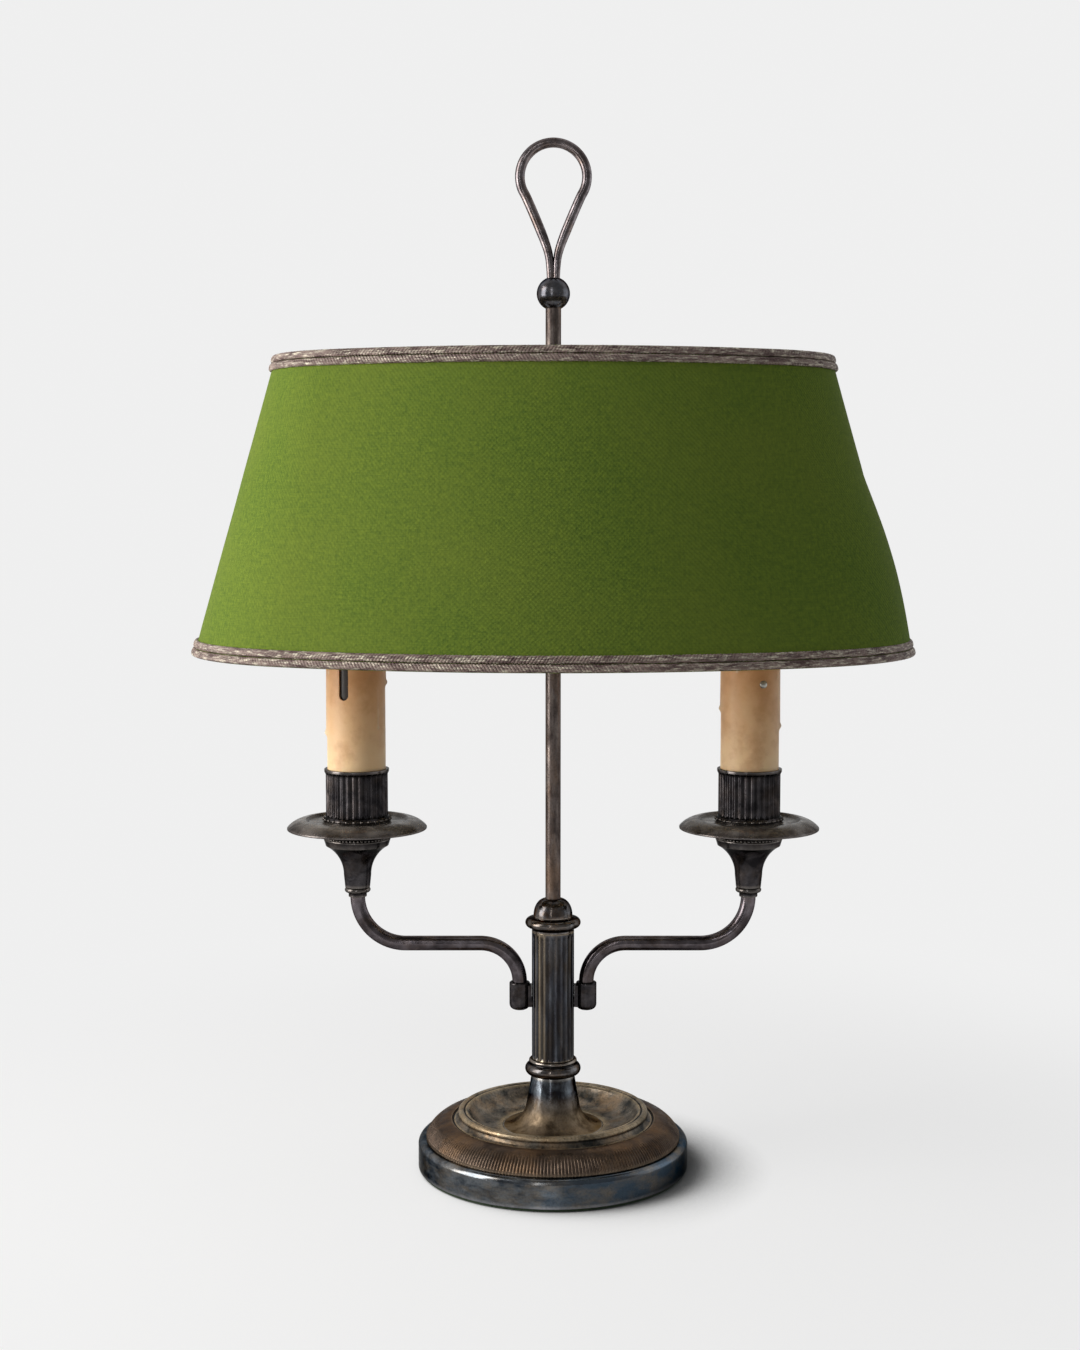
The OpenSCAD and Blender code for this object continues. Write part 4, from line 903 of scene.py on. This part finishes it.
# how much longer than deep the oval is each way, and half the turn of a wide arc; the wide
# arcs are centred SIDE_Y off the middle, and the close ones END_X off it
LONGER, HALF_WIDE = 54.0, math.radians(28)
CLOSE_TURN = math.pi - 2 * HALF_WIDE
SIDE_Y = LONGER / (1 + math.tan(HALF_WIDE) - 1 / math.cos(HALF_WIDE))
END_X = SIDE_Y * math.tan(HALF_WIDE)


def oval(radius, z, spacing):
    """Points round the shade's oval, counter-clockwise from the middle of its back."""
    wide, close = radius + SIDE_Y, radius + LONGER - END_X
    points, heading = [], math.pi / 2
    for x, y, r, turn in ((0, -SIDE_Y, wide, HALF_WIDE), (-END_X, 0, close, CLOSE_TURN),
                          (0, SIDE_Y, wide, 2 * HALF_WIDE), (END_X, 0, close, CLOSE_TURN),
                          (0, -SIDE_Y, wide, HALF_WIDE)):
        steps = round(r * turn / spacing)
        for i in range(steps):
            a = heading + turn * i / steps
            points.append((x + r * math.cos(a), y + r * math.sin(a), z))
        heading += turn
    return points


def wire(name, *rings):
    """A curve object with one closed line for each ring of points."""
    curve = bpy.data.curves.new(name, "CURVE")
    curve.dimensions = "3D"
    for points in rings:
        line = curve.splines.new("POLY")
        line.points.add(len(points) - 1)
        for spot, p in zip(line.points, points):
            spot.co = (p[0] * MM, p[1] * MM, p[2] * MM, 1)
        line.use_cyclic_u = True
    made = bpy.data.objects.new(name, curve)
    bpy.context.scene.collection.objects.link(made)
    return made


print("the oval's lower half length and depth:", LOW_R + LONGER, LOW_R)

# %% The tree for the cover
swept, given = tree_with("stretched_cover", Rise="Float", Lean="Float", Rows="Int",
                         Ripple="Float", Slack="Float", Start="Float", Material="Material")
length = node(swept, "GeometryNodeSplineParameter").outputs["Length"]
marked = node(swept, "GeometryNodeStoreNamedAttribute", {
    0: given["Geometry"], "Name": "around", "Value": length}, data_type="FLOAT", domain="POINT")
# on a line that runs counter-clockwise the section's own Y axis points down
down = node(swept, "ShaderNodeMath", {0: given["Rise"], 1: -1.0}, operation="MULTIPLY")
top = node(swept, "ShaderNodeCombineXYZ", {0: given["Lean"], 1: down})
side_line = node(swept, "GeometryNodeCurvePrimitiveLine", {"End": top})
side_rows = node(swept, "GeometryNodeResampleCurve", {0: side_line, "Count": given["Rows"]})
climb = node(swept, "GeometryNodeSplineParameter").outputs["Length"]
climbed = node(swept, "GeometryNodeStoreNamedAttribute", {
    0: side_rows, "Name": "up", "Value": climb}, data_type="FLOAT", domain="POINT")
sheet = node(swept, "GeometryNodeCurveToMesh", {0: marked, 1: climbed})
# its faces look into the shade, so they are turned round
sheet = node(swept, "GeometryNodeFlipFaces", {0: sheet})
around = node(swept, "GeometryNodeInputNamedAttribute", {"Name": "around"}, data_type="FLOAT")
up = node(swept, "GeometryNodeInputNamedAttribute", {"Name": "up"}, data_type="FLOAT")
# the last column of faces runs from the full length back to 0, so there the length is added
whole = node(swept, "GeometryNodeAttributeStatistic", {0: sheet, 2: around},
             data_type="FLOAT", domain="POINT").outputs["Max"]
middle = node(swept, "GeometryNodeFieldOnDomain", {0: around}, data_type="FLOAT", domain="FACE")
short = node(swept, "ShaderNodeMath", {0: middle, 1: around}, operation="SUBTRACT")
quarter = node(swept, "ShaderNodeMath", {0: whole, 1: 0.25}, operation="MULTIPLY")
wraps = node(swept, "ShaderNodeMath", {0: short, 1: quarter}, operation="GREATER_THAN")
unwrapped = node(swept, "ShaderNodeMath", {0: wraps, 1: whole, 2: around},
                 operation="MULTIPLY_ADD")
cloth_uv = node(swept, "ShaderNodeCombineXYZ", {0: unwrapped, 1: up})
mapped = node(swept, "GeometryNodeStoreNamedAttribute", {
    0: sheet, "Name": "UVMap", "Value": cloth_uv}, data_type="FLOAT2", domain="CORNER")
# stretched cloth is never quite flat: a slow ripple of a fraction of a millimetre
waves = node(swept, "ShaderNodeTexNoise", {"Scale": 22.0, "Detail": 2.0})
swing = node(swept, "ShaderNodeMath", {0: waves, 1: 0.5}, operation="SUBTRACT")
swing = node(swept, "ShaderNodeMath", {0: swing, 1: given["Ripple"]}, operation="MULTIPLY")
# at one end the cloth has gone slack and bellies out above the lower ring
where = node(swept, "ShaderNodeSeparateXYZ", {
    0: node(swept, "GeometryNodeInputPosition")}).outputs["X"]
end_part = node(swept, "ShaderNodeMapRange", {
    "Value": where, "From Min": given["Start"], "From Max": 0.15},
    interpolation_type="SMOOTHSTEP")
share_up = node(swept, "ShaderNodeMath", {0: up, 1: given["Rise"]}, operation="DIVIDE")
half_turn = node(swept, "ShaderNodeMapRange", {
    "Value": share_up, "From Max": 0.62, "To Max": math.pi})
belly = node(swept, "ShaderNodeMath", {0: half_turn}, operation="SINE")
belly = node(swept, "ShaderNodeMath", {0: belly, 1: end_part}, operation="MULTIPLY")
swing = node(swept, "ShaderNodeMath", {0: belly, 1: given["Slack"], 2: swing},
             operation="MULTIPLY_ADD")
push = node(swept, "ShaderNodeVectorMath", {
    0: node(swept, "GeometryNodeInputNormal"), "Scale": swing}, operation="SCALE")
rippled = node(swept, "GeometryNodeSetPosition", {0: mapped, "Offset": push})
ending(swept, rippled, given["Material"])
print("cover tree:", len(swept.nodes), "nodes")

# %% [markdown]
# ## Cloth
# The cover is a plain weave of dyed linen, glued down and drum tight. Plain weave has threads
# over and under in turn, so its height is a product of two sine waves, one for each set of
# threads. Real threads are 0.4 mm apart, too fine for a render, so they are drawn 1.1 mm
# apart. Slubs, where a thread is thicker, are noise stretched along one thread at a time, and
# uneven dye is a slow noise. Linen has a little sheen from its loose fibres.

# %% Linen
def linen(name, dye, faded, shadow, thread, sheen):
    """Woven cloth in its UV map, which is in metres along the cloth."""
    material, tree = blank(name)
    flat_place = node(tree, "ShaderNodeUVMap", uv_map="UVMap").outputs["UV"]
    parts = node(tree, "ShaderNodeSeparateXYZ", {0: flat_place}).outputs
    waves, slubs = [], []
    for axis in ("X", "Y"):
        turn = node(tree, "ShaderNodeMath", {0: parts[axis], 1: math.pi * 1000 / thread},
                    operation="MULTIPLY")
        waves.append(node(tree, "ShaderNodeMath", {0: turn}, operation="SINE"))
    over = node(tree, "ShaderNodeMath", dict(enumerate(waves)), operation="MULTIPLY")
    for stretch in ((140, 1680, 140), (1680, 140, 140)):
        spread = node(tree, "ShaderNodeVectorMath", {0: flat_place, 1: stretch},
                      operation="MULTIPLY")
        slubs.append(node(tree, "ShaderNodeTexNoise", {
            "Vector": spread, "Scale": 1.0, "Detail": 3.0, "Roughness": 0.6}))
    slub = node(tree, "ShaderNodeMath", dict(enumerate(slubs)), operation="ADD")
    mottle = node(tree, "ShaderNodeTexNoise", {
        "Vector": flat_place, "Scale": 1000 / 2.2, "Detail": 3, "Roughness": 0.75})
    both = node(tree, "ShaderNodeMath", {0: slub, 1: 0.5, 2: mottle}, operation="MULTIPLY_ADD")
    _, dyed = overlaid(tree, both, 0.72, 1.28, colour(shadow), colour(dye))
    age = node(tree, "ShaderNodeTexNoise", {
        "Vector": flat_place, "Scale": 1000 / 60, "Detail": 3, "Roughness": 0.5})
    _, aged = overlaid(tree, age, 0.35, 0.7, dyed, colour(faded), 0.3)
    height = node(tree, "ShaderNodeMath", {0: slub, 1: 0.9, 2: over}, operation="MULTIPLY_ADD")
    relief = node(tree, "ShaderNodeBump", {
        "Height": height, "Strength": 0.3, "Distance": 0.15 * MM})
    skin = node(tree, "ShaderNodeBsdfPrincipled", {
        "Base Color": aged, "Roughness": 0.88, "Sheen Weight": sheen, "Sheen Roughness": 0.3,
        "Specular IOR Level": 0.12, "Normal": relief})
    node(tree, "ShaderNodeOutputMaterial", {"Surface": skin})
    return material


green_linen = linen("green_dyed_linen", "#758a31", "#7d8836", "#4d6528", 1.1, 0.035)
cover = worked(wire("shade_linen_cover", oval(LOW_R, SHADE_LOW, 3.0)), swept,
               Rise=(SHADE_HIGH - SHADE_LOW) * MM, Lean=(HIGH_R - LOW_R) * MM, Rows=56,
               Ripple=0.5 * MM, Slack=2.9 * MM, Start=95 * MM, Material=green_linen)
cover = plain(cover)
low, high = [Vector([f(v.co[i] for v in cover.data.vertices) for i in range(3)])
             for f in (min, max)]
print("cover spans", [round(c / MM, 1) for c in low], [round(c / MM, 1) for c in high])

# %% [markdown]
# A cloth has two faces and an edge, so the swept surface gets a thickness of 0.6 mm inwards.
# The cut piece is a curved band: laid flat, each arc of the oval becomes an arc with a longer
# radius and a smaller turn. Half of the lower edge is walked from the middle of the front to
# the seam at the back, which gives the band's rectangle.

# %% The cover as a sheet of cloth
thick = cover.modifiers.new("thickness", "SOLIDIFY")
thick.thickness, thick.offset = 0.6 * MM, -1
cover = plain(cover)
placed(cover, None, "shade", "shade_cloth", "shade_cover")

slant = math.hypot(LOW_R - HIGH_R, SHADE_HIGH - SHADE_LOW)
fold = (LOW_R - HIGH_R) / slant
corner_x = corner_y = heading = 0
for plan_r, turn in ((LOW_R + SIDE_Y, HALF_WIDE), (LOW_R + LONGER - END_X, CLOSE_TURN),
                     (LOW_R + SIDE_Y, HALF_WIDE)):
    after = heading + turn * fold
    corner_x += plan_r / fold * (math.sin(after) - math.sin(heading))
    corner_y += plan_r / fold * (math.cos(heading) - math.cos(after))
    heading = after

# %% [markdown]
# ## Braid
# Both edges are bound with two metallic cords, side by side, each laid up from three strands.
# A strand is a helix that follows the oval: every point is pushed out and along the cover by a
# cosine and a sine that turn once in a lay of about four and a half millimetres. The two cords
# are laid in opposite ways, one S and one Z, so the pair reads as a plait. The lay is rounded
# to a whole number of turns, so that each strand meets itself.

# %% The tree for laid cords
laid, given = tree_with("laid_cords", Strands="Int", Lay="Float", Tall="Float", Deep="Float",
                        Strand="Float", Lean="Float", Middle="Float", Material="Material")
fine = node(laid, "ShaderNodeMath", {0: given["Lay"], 1: 12.0}, operation="DIVIDE")
even = node(laid, "GeometryNodeResampleCurve", {0: given["Geometry"], "Length": fine},
            mode="LENGTH")
split = node(laid, "GeometryNodeDuplicateElements", {0: even, "Amount": given["Strands"]},
             domain="SPLINE")
run = node(laid, "GeometryNodeSplineParameter").outputs["Factor"]
laps = node(laid, "ShaderNodeMath", {
    0: node(laid, "GeometryNodeSplineLength"), 1: given["Lay"]}, operation="DIVIDE")
laps = node(laid, "ShaderNodeMath", {0: laps}, operation="ROUND")
# the factor reaches 1 only at the point where a closed line begins again
whole_turns = node(laid, "ShaderNodeMath", {0: run, 1: laps}, operation="MULTIPLY")
share = node(laid, "ShaderNodeMath", {
    0: split.outputs["Duplicate Index"], 1: given["Strands"]}, operation="DIVIDE")
turned_by = node(laid, "ShaderNodeMath", {0: whole_turns, 1: share}, operation="ADD")
phase = node(laid, "ShaderNodeMath", {0: turned_by, 1: 2 * math.pi}, operation="MULTIPLY")
# the upper cord is laid one way and the lower one the other way
level = node(laid, "ShaderNodeSeparateXYZ", {0: node(laid, "GeometryNodeInputPosition")})
above = node(laid, "ShaderNodeMath", {0: level.outputs["Z"], 1: given["Middle"]},
             operation="GREATER_THAN")
hand = node(laid, "ShaderNodeMath", {0: above, 1: 2.0, 2: -1.0}, operation="MULTIPLY_ADD")
up_part = node(laid, "ShaderNodeMath", {0: phase}, operation="SINE")
for factor in (hand, given["Tall"]):
    up_part = node(laid, "ShaderNodeMath", {0: up_part, 1: factor}, operation="MULTIPLY")
out_part = node(laid, "ShaderNodeMath", {0: phase}, operation="COSINE")
out_part = node(laid, "ShaderNodeMath", {0: out_part, 1: given["Deep"]}, operation="MULTIPLY")
outward = node(laid, "ShaderNodeVectorMath", {
    0: node(laid, "GeometryNodeInputTangent"), 1: (0, 0, 1)}, operation="CROSS_PRODUCT")
# up the cover is up and a little inwards
leaning, swell = [node(laid, "ShaderNodeVectorMath", {0: outward, "Scale": scale},
                       operation="SCALE") for scale in (given["Lean"], out_part)]
up_cover = node(laid, "ShaderNodeVectorMath", {0: (0, 0, 1), 1: leaning}, operation="SUBTRACT")
rise = node(laid, "ShaderNodeVectorMath", {0: up_cover, "Scale": up_part}, operation="SCALE")
offset = node(laid, "ShaderNodeVectorMath", {0: rise, 1: swell}, operation="ADD")
wound = node(laid, "GeometryNodeSetPosition", {0: split, "Offset": offset})
strand = node(laid, "GeometryNodeCurvePrimitiveCircle", {
    "Radius": given["Strand"], "Resolution": 6})
drawn = node(laid, "GeometryNodeCurveToMesh", {0: wound, 1: strand})
ending(laid, drawn, given["Material"])
print("cord tree:", len(laid.nodes), "nodes")

# %% [markdown]
# ## Metal thread
# The cords are gimp: a cotton core wrapped in a flat gilt thread, long since dulled to a pinkish
# brown, with bright flecks where the wrap still shines. The wrap is a fraction of a millimetre
# wide, so two noises stand for it, 4.5 and 9 mm long and a sixth as high. The brightest flecks
# are half metal and half cotton.

# %% Gimp
def gimp(name, core, thread, gilt):
    """Cotton wrapped in dull gilt thread."""
    material, tree = blank(name)
    place = node(tree, "ShaderNodeTexCoord").outputs["Object"]
    # the thread runs round the shade, so the noises are squeezed upwards
    drawn = node(tree, "ShaderNodeVectorMath", {0: place, 1: (1, 1, 6)}, operation="MULTIPLY")
    flecks = node(tree, "ShaderNodeTexNoise", {
        "Vector": drawn, "Scale": 1000 / 4.5, "Detail": 4, "Roughness": 0.7})
    moved = node(tree, "ShaderNodeVectorMath", {0: drawn, 1: (0.3, 0.2, 0.7)})
    long_tone = node(tree, "ShaderNodeTexNoise", {
        "Vector": moved, "Scale": 1000 / 9, "Detail": 4, "Roughness": 0.7})
    _, base = overlaid(tree, long_tone, 0.38, 0.62, colour(core), colour(thread))
    shine, gilded = overlaid(tree, flecks, 0.5, 0.68, base, colour(gilt))
    metal = node(tree, "ShaderNodeMath", {0: shine, 1: 0.5}, operation="MULTIPLY")
    skin = node(tree, "ShaderNodeBsdfPrincipled", {
        "Base Color": gilded, "Metallic": metal, "Roughness": 0.55, "Specular IOR Level": 0.3})
    node(tree, "ShaderNodeOutputMaterial", {"Surface": skin})
    return material


metal_braid = gimp("dulled_gilt_gimp", "#5c4846", "#9d8a82", "#e4dcc8")
print("gimp:", len(metal_braid.node_tree.nodes), "nodes")

# %% Braids
# how far a cord's middle stands out from the cover, how wide a braid is, and its two cords
STAND_OUT, BRAID_HIGH = 0.55, 7
CORDS_UP = (1.75, 5.25)


def cord_line(z):
    """The line that a cord's middle follows, just clear of the cover."""
    return oval(LOW_R - (z - SHADE_LOW) * SLOPE + STAND_OUT, z, 1.0)


for edge_name, z in (("bottom", SHADE_LOW), ("top", SHADE_HIGH - BRAID_HIGH)):
    pair = wire(f"shade_{edge_name}_braid", *(cord_line(z + up) for up in CORDS_UP))
    worked(pair, laid, Strands=3, Lay=4.4 * MM, Tall=0.92 * MM, Deep=0.3 * MM,
           Strand=0.86 * MM, Lean=SLOPE, Middle=(z + BRAID_HIGH / 2) * MM, Material=metal_braid)
    placed(plain(pair), None, "shade", "braid", f"shade_{edge_name}_trim")

# %% [markdown]
# ## The pieces that keep their machined shape
# Felt, weight, nuts, sockets, lampholders, bulbs and the shade's frame are right as the frame
# has them, so they only get their materials.

# %% Felt, phenolic, glass and lining
def plain_finish(name, main, mark, mm, rough, strength, **sockets):
    """A moulded or pressed material: one colour with marks of a given size, and their relief."""
    material, tree = blank(name)
    place = node(tree, "ShaderNodeTexCoord").outputs["Object"]
    marks = node(tree, "ShaderNodeTexNoise", {
        "Vector": place, "Scale": 1000 / mm, "Detail": 5, "Roughness": 0.65})
    _, mixed = overlaid(tree, marks, 0.35, 0.7, colour(main), colour(mark))
    relief = node(tree, "ShaderNodeBump", {
        "Height": marks, "Strength": strength, "Distance": 0.3 * MM})
    skin = node(tree, "ShaderNodeBsdfPrincipled", {
        "Base Color": mixed, "Roughness": rough, "Normal": relief, **sockets})
    node(tree, "ShaderNodeOutputMaterial", {"Surface": skin})
    return material


# pressed wool: no gloss, a nap of fibres about a millimetre long
base_felt = plain_finish("pressed_wool_felt", "#2c3a2a", "#3c4a37", 1.0, 0.95, 0.8)
# black rubber bushing, slightly chalky
bushing_rubber = plain_finish("black_rubber", "#1b1b1b", "#2a2928", 1.5, 0.6, 0.2)
# dark phenolic moulding: brown black, glossy where it left the mould
phenolic = plain_finish("moulded_phenolic", "#241d1a", "#33291f", 3.0, 0.35, 0.1)
# nickel on brass, stamped with a screw thread
nickel_cap = plain_finish("nickelled_bulb_cap", "#b9b7ae", "#8f8c82", 4.0, 0.3, 0.1,
                          Metallic=1.0)
# laminated paper lining, off white
lining_paper = plain_finish("laminated_paper_lining", "#e4dcc6", "#d2c6a8", 2.0, 0.75, 0.25)
# thin glass etched inside, so that it glows evenly
etched_glass = plain_finish("etched_bulb_glass", "#f2efe6", "#e6e1d4", 2.0, 0.35, 0.05,
                            **{"Transmission Weight": 0.75, "IOR": 1.5})
print("materials:", len(bpy.data.materials))

# %% Dressing the frame's own pieces
dressing = (
    (base_felt, "felt_pad"),
    (cast_iron, "base_ballast"),
    (bushing_rubber, "cord_bushing"),
    (raw_brass, "base_washer base_nut tie_tube left_nipple right_nipple left_cup_nut"
                " right_cup_nut"),
    (rod_brass, "shade_carrier carrier_nut thumbscrew"),
    (sooty_brass, "left_socket right_socket"),
    (phenolic, "left_lampholder right_lampholder"),
    (nickel_cap, "left_bulb_cap right_bulb_cap right_sleeve_screw"),
    (etched_glass, "left_bulb_glass right_bulb_glass"),
    (frame_wire, "shade_spider shade_bottom_wire"),
    (lining_paper, "shade_lining"),
)
for material, names in dressing:
    for name in names.split():
        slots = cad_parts[name].data.materials
        for i in range(len(slots)):
            slots[i] = material
print("dressed:", sum(len(names.split()) for _, names in dressing), "pieces of the frame")

# %% [markdown]
# ## Light and floor
# A tall soft window stands close on the left and reaches almost down to the table, so the
# shade falls off from its left end to its right and the candles get light below the shade. A
# narrow strip near the camera draws the second bright line down every turned piece, and a
# wide, dim, bluish one on the right, a little behind, cools the metal's other side.
#
# Old metal shows what stands round it. Here that is a pale paper sweep under and behind the
# lamp, and a dim room in front of it. The camera sees the pale tone on every side, and
# reflections see it wherever the paper is. Diffuse light comes from an even grey world, because
# white all round would fill in every shadow.

# %% Lamps
# the tones of the paper and of the room, and the light that comes from all round
PALE, ROOM, AMBIENT = 0.866, 0.24, 0.2


def lamp(name, place, aim, width, height, level, tint=(1, 1, 1)):
    """A soft box; level is how bright a white card facing it at its aim would be."""
    data = bpy.data.lights.new(name, "AREA")
    data.shape, data.size, data.size_y = "RECTANGLE", width, height
    data.color = tint
    to = Vector(aim) - Vector(place)
    data.energy = level * math.pi ** 2 * to.length_squared
    made = bpy.data.objects.new(name, data)
    made.location = place
    made.rotation_euler = to.to_track_quat("-Z", "Y").to_euler()
    bpy.context.scene.collection.objects.link(made)


lamp("window", (-0.86, -0.25, 0.52), (0, 0, 0.4), 0.5, 1.0, 1.28, (1.0, 0.98, 0.95))
lamp("strip", (-0.25, -1.15, 0.62), (0, 0, 0.45), 0.06, 1.1, 0.09, (0.94, 0.97, 1.0))
lamp("cool_side", (1.0, 0.1, 0.45), (0, 0, 0.3), 0.8, 0.8, 0.1, (0.85, 0.93, 1.0))

# %% The world
def pale_where(tree, away, near, far):
    """The room's tone, turning into the paper's where the value goes from near to far."""
    return node(tree, "ShaderNodeMapRange", {
        "Value": away, "From Min": near, "From Max": far, "To Min": ROOM, "To Max": PALE},
        interpolation_type="SMOOTHSTEP")


def with_camera(tree, rays, tone):
    """The tone, but at least the paper's own one for the camera."""
    shown = node(tree, "ShaderNodeMath", {0: rays["Is Camera Ray"], 1: PALE},
                 operation="MULTIPLY")
    return node(tree, "ShaderNodeMath", {0: shown, 1: tone}, operation="MAXIMUM")


world = bpy.data.worlds.new("studio")
bpy.context.scene.world = world
world.use_nodes = True
room = world.node_tree
room.nodes.clear()
rays = node(room, "ShaderNodeLightPath").outputs
towards = node(room, "ShaderNodeTexCoord").outputs["Generated"]
ahead = node(room, "ShaderNodeSeparateXYZ", {0: towards}).outputs["Y"]
shown = with_camera(room, rays, pale_where(room, ahead, -0.35, 0.45))
backdrop = node(room, "ShaderNodeBackground", {"Color": shown})
ambient = node(room, "ShaderNodeBackground", {"Color": (AMBIENT, AMBIENT, AMBIENT, 1)})
seen = rays["Is Camera Ray"]
for kind in ("Is Transmission Ray", "Is Glossy Ray"):
    seen = node(room, "ShaderNodeMath", {0: seen, 1: rays[kind]}, operation="MAXIMUM")
sky = node(room, "ShaderNodeMixShader", {0: seen, 1: ambient, 2: backdrop})
node(room, "ShaderNodeOutputWorld", {"Surface": sky})
print("world:", len(room.nodes), "nodes")

# %% [markdown]
# Near the lamp the paper is lit by the lamps, so it keeps the shadow, and a glow makes up what
# the lamps don't give it. The glow fades close beside the foot, where the window's low light
# can't reach, and reflections see it brightest in a lane towards the front, which draws a
# bright line up the metal. Further out the paper has its plain tone, and there is no horizon.

# %% The paper
PAPER_GLOW = 0.8
# how far from the lamp the lit paper turns into its plain tone, in metres
NEAR, FAR = 0.16, 0.5

floor_paint, paper = blank("pale_paper")
rays = node(paper, "ShaderNodeLightPath").outputs
spot = node(paper, "ShaderNodeTexCoord").outputs["Object"]
seen = node(paper, "ShaderNodeMath", {
    0: rays["Is Camera Ray"], 1: rays["Is Glossy Ray"]}, operation="MAXIMUM")
tone = node(paper, "ShaderNodeMix", {
    0: seen, 6: (0.55, 0.53, 0.5, 1), 7: (0.25, 0.25, 0.25, 1)}, data_type="RGBA")
lit = node(paper, "ShaderNodeBsdfDiffuse", {"Color": tone})
# the window lights the paper at a low angle, so close beside the foot hardly any light is left
from_window = node(paper, "ShaderNodeCombineXYZ", {"X": -0.8, "Y": -0.15, "Z": 0.58})
open_side = node(paper, "ShaderNodeAmbientOcclusion", {
    "Distance": 40 * MM, "Normal": from_window}, samples=12).outputs["AO"]
reached = node(paper, "ShaderNodeMapRange", {
    "Value": open_side, "From Min": 0.5, "From Max": 0.97}, interpolation_type="SMOOTHSTEP")
# the metal sees a bright lane on it towards the front, and the rest of it dimmer
ground = node(paper, "ShaderNodeSeparateXYZ", {0: spot}).outputs
to_front = node(paper, "ShaderNodeMath", {0: ground["Y"], 1: -1.0}, operation="MULTIPLY")
bearing = node(paper, "ShaderNodeMath", {0: ground["X"], 1: to_front}, operation="ARCTAN2")
off_lane = node(paper, "ShaderNodeMath", {0: bearing, 1: 0.06}, operation="ADD")
off_lane = node(paper, "ShaderNodeMath", {0: off_lane}, operation="ABSOLUTE")
lane = node(paper, "ShaderNodeMapRange", {
    "Value": off_lane, "From Min": 0.03, "From Max": 0.16, "To Min": 1.0, "To Max": 0.5},
    interpolation_type="SMOOTHSTEP")
own_light = rays["Is Glossy Ray"]
for operation, factor in (("MULTIPLY", lane), ("MAXIMUM", rays["Is Camera Ray"]),
                          ("MULTIPLY", PAPER_GLOW), ("MULTIPLY", reached)):
    own_light = node(paper, "ShaderNodeMath", {0: own_light, 1: factor}, operation=operation)
glow = node(paper, "ShaderNodeEmission", {"Color": (PALE, PALE, PALE, 1), "Strength": own_light})
near_paper = node(paper, "ShaderNodeAddShader", {0: lit, 1: glow})
plain_tone = with_camera(paper, rays, pale_where(paper, ground["Y"], -1.3, -0.5))
far_paper = node(paper, "ShaderNodeEmission", {"Color": plain_tone})
away = node(paper, "ShaderNodeVectorMath", {0: spot}, operation="LENGTH")
far = node(paper, "ShaderNodeMapRange", {"Value": away, "From Min": NEAR, "From Max": FAR},
           interpolation_type="SMOOTHSTEP")
share = node(paper, "ShaderNodeMath", {0: far, 1: seen}, operation="MULTIPLY")
paper_skin = node(paper, "ShaderNodeMixShader", {0: share, 1: near_paper, 2: far_paper})
node(paper, "ShaderNodeOutputMaterial", {"Surface": paper_skin})
# half the side of the paper, in mm
HALF_FLOOR = 4000
floor = mesh_object("paper_floor", [(x * HALF_FLOOR, y * HALF_FLOOR, -0.2) for x, y in
                                    ((-1, -1), (1, -1), (1, 1), (-1, 1))], [(0, 1, 2, 3)])
floor.data.materials.append(floor_paint)
bpy.context.scene.view_settings.view_transform = "Standard"
print("paper:", len(paper.nodes), "nodes")
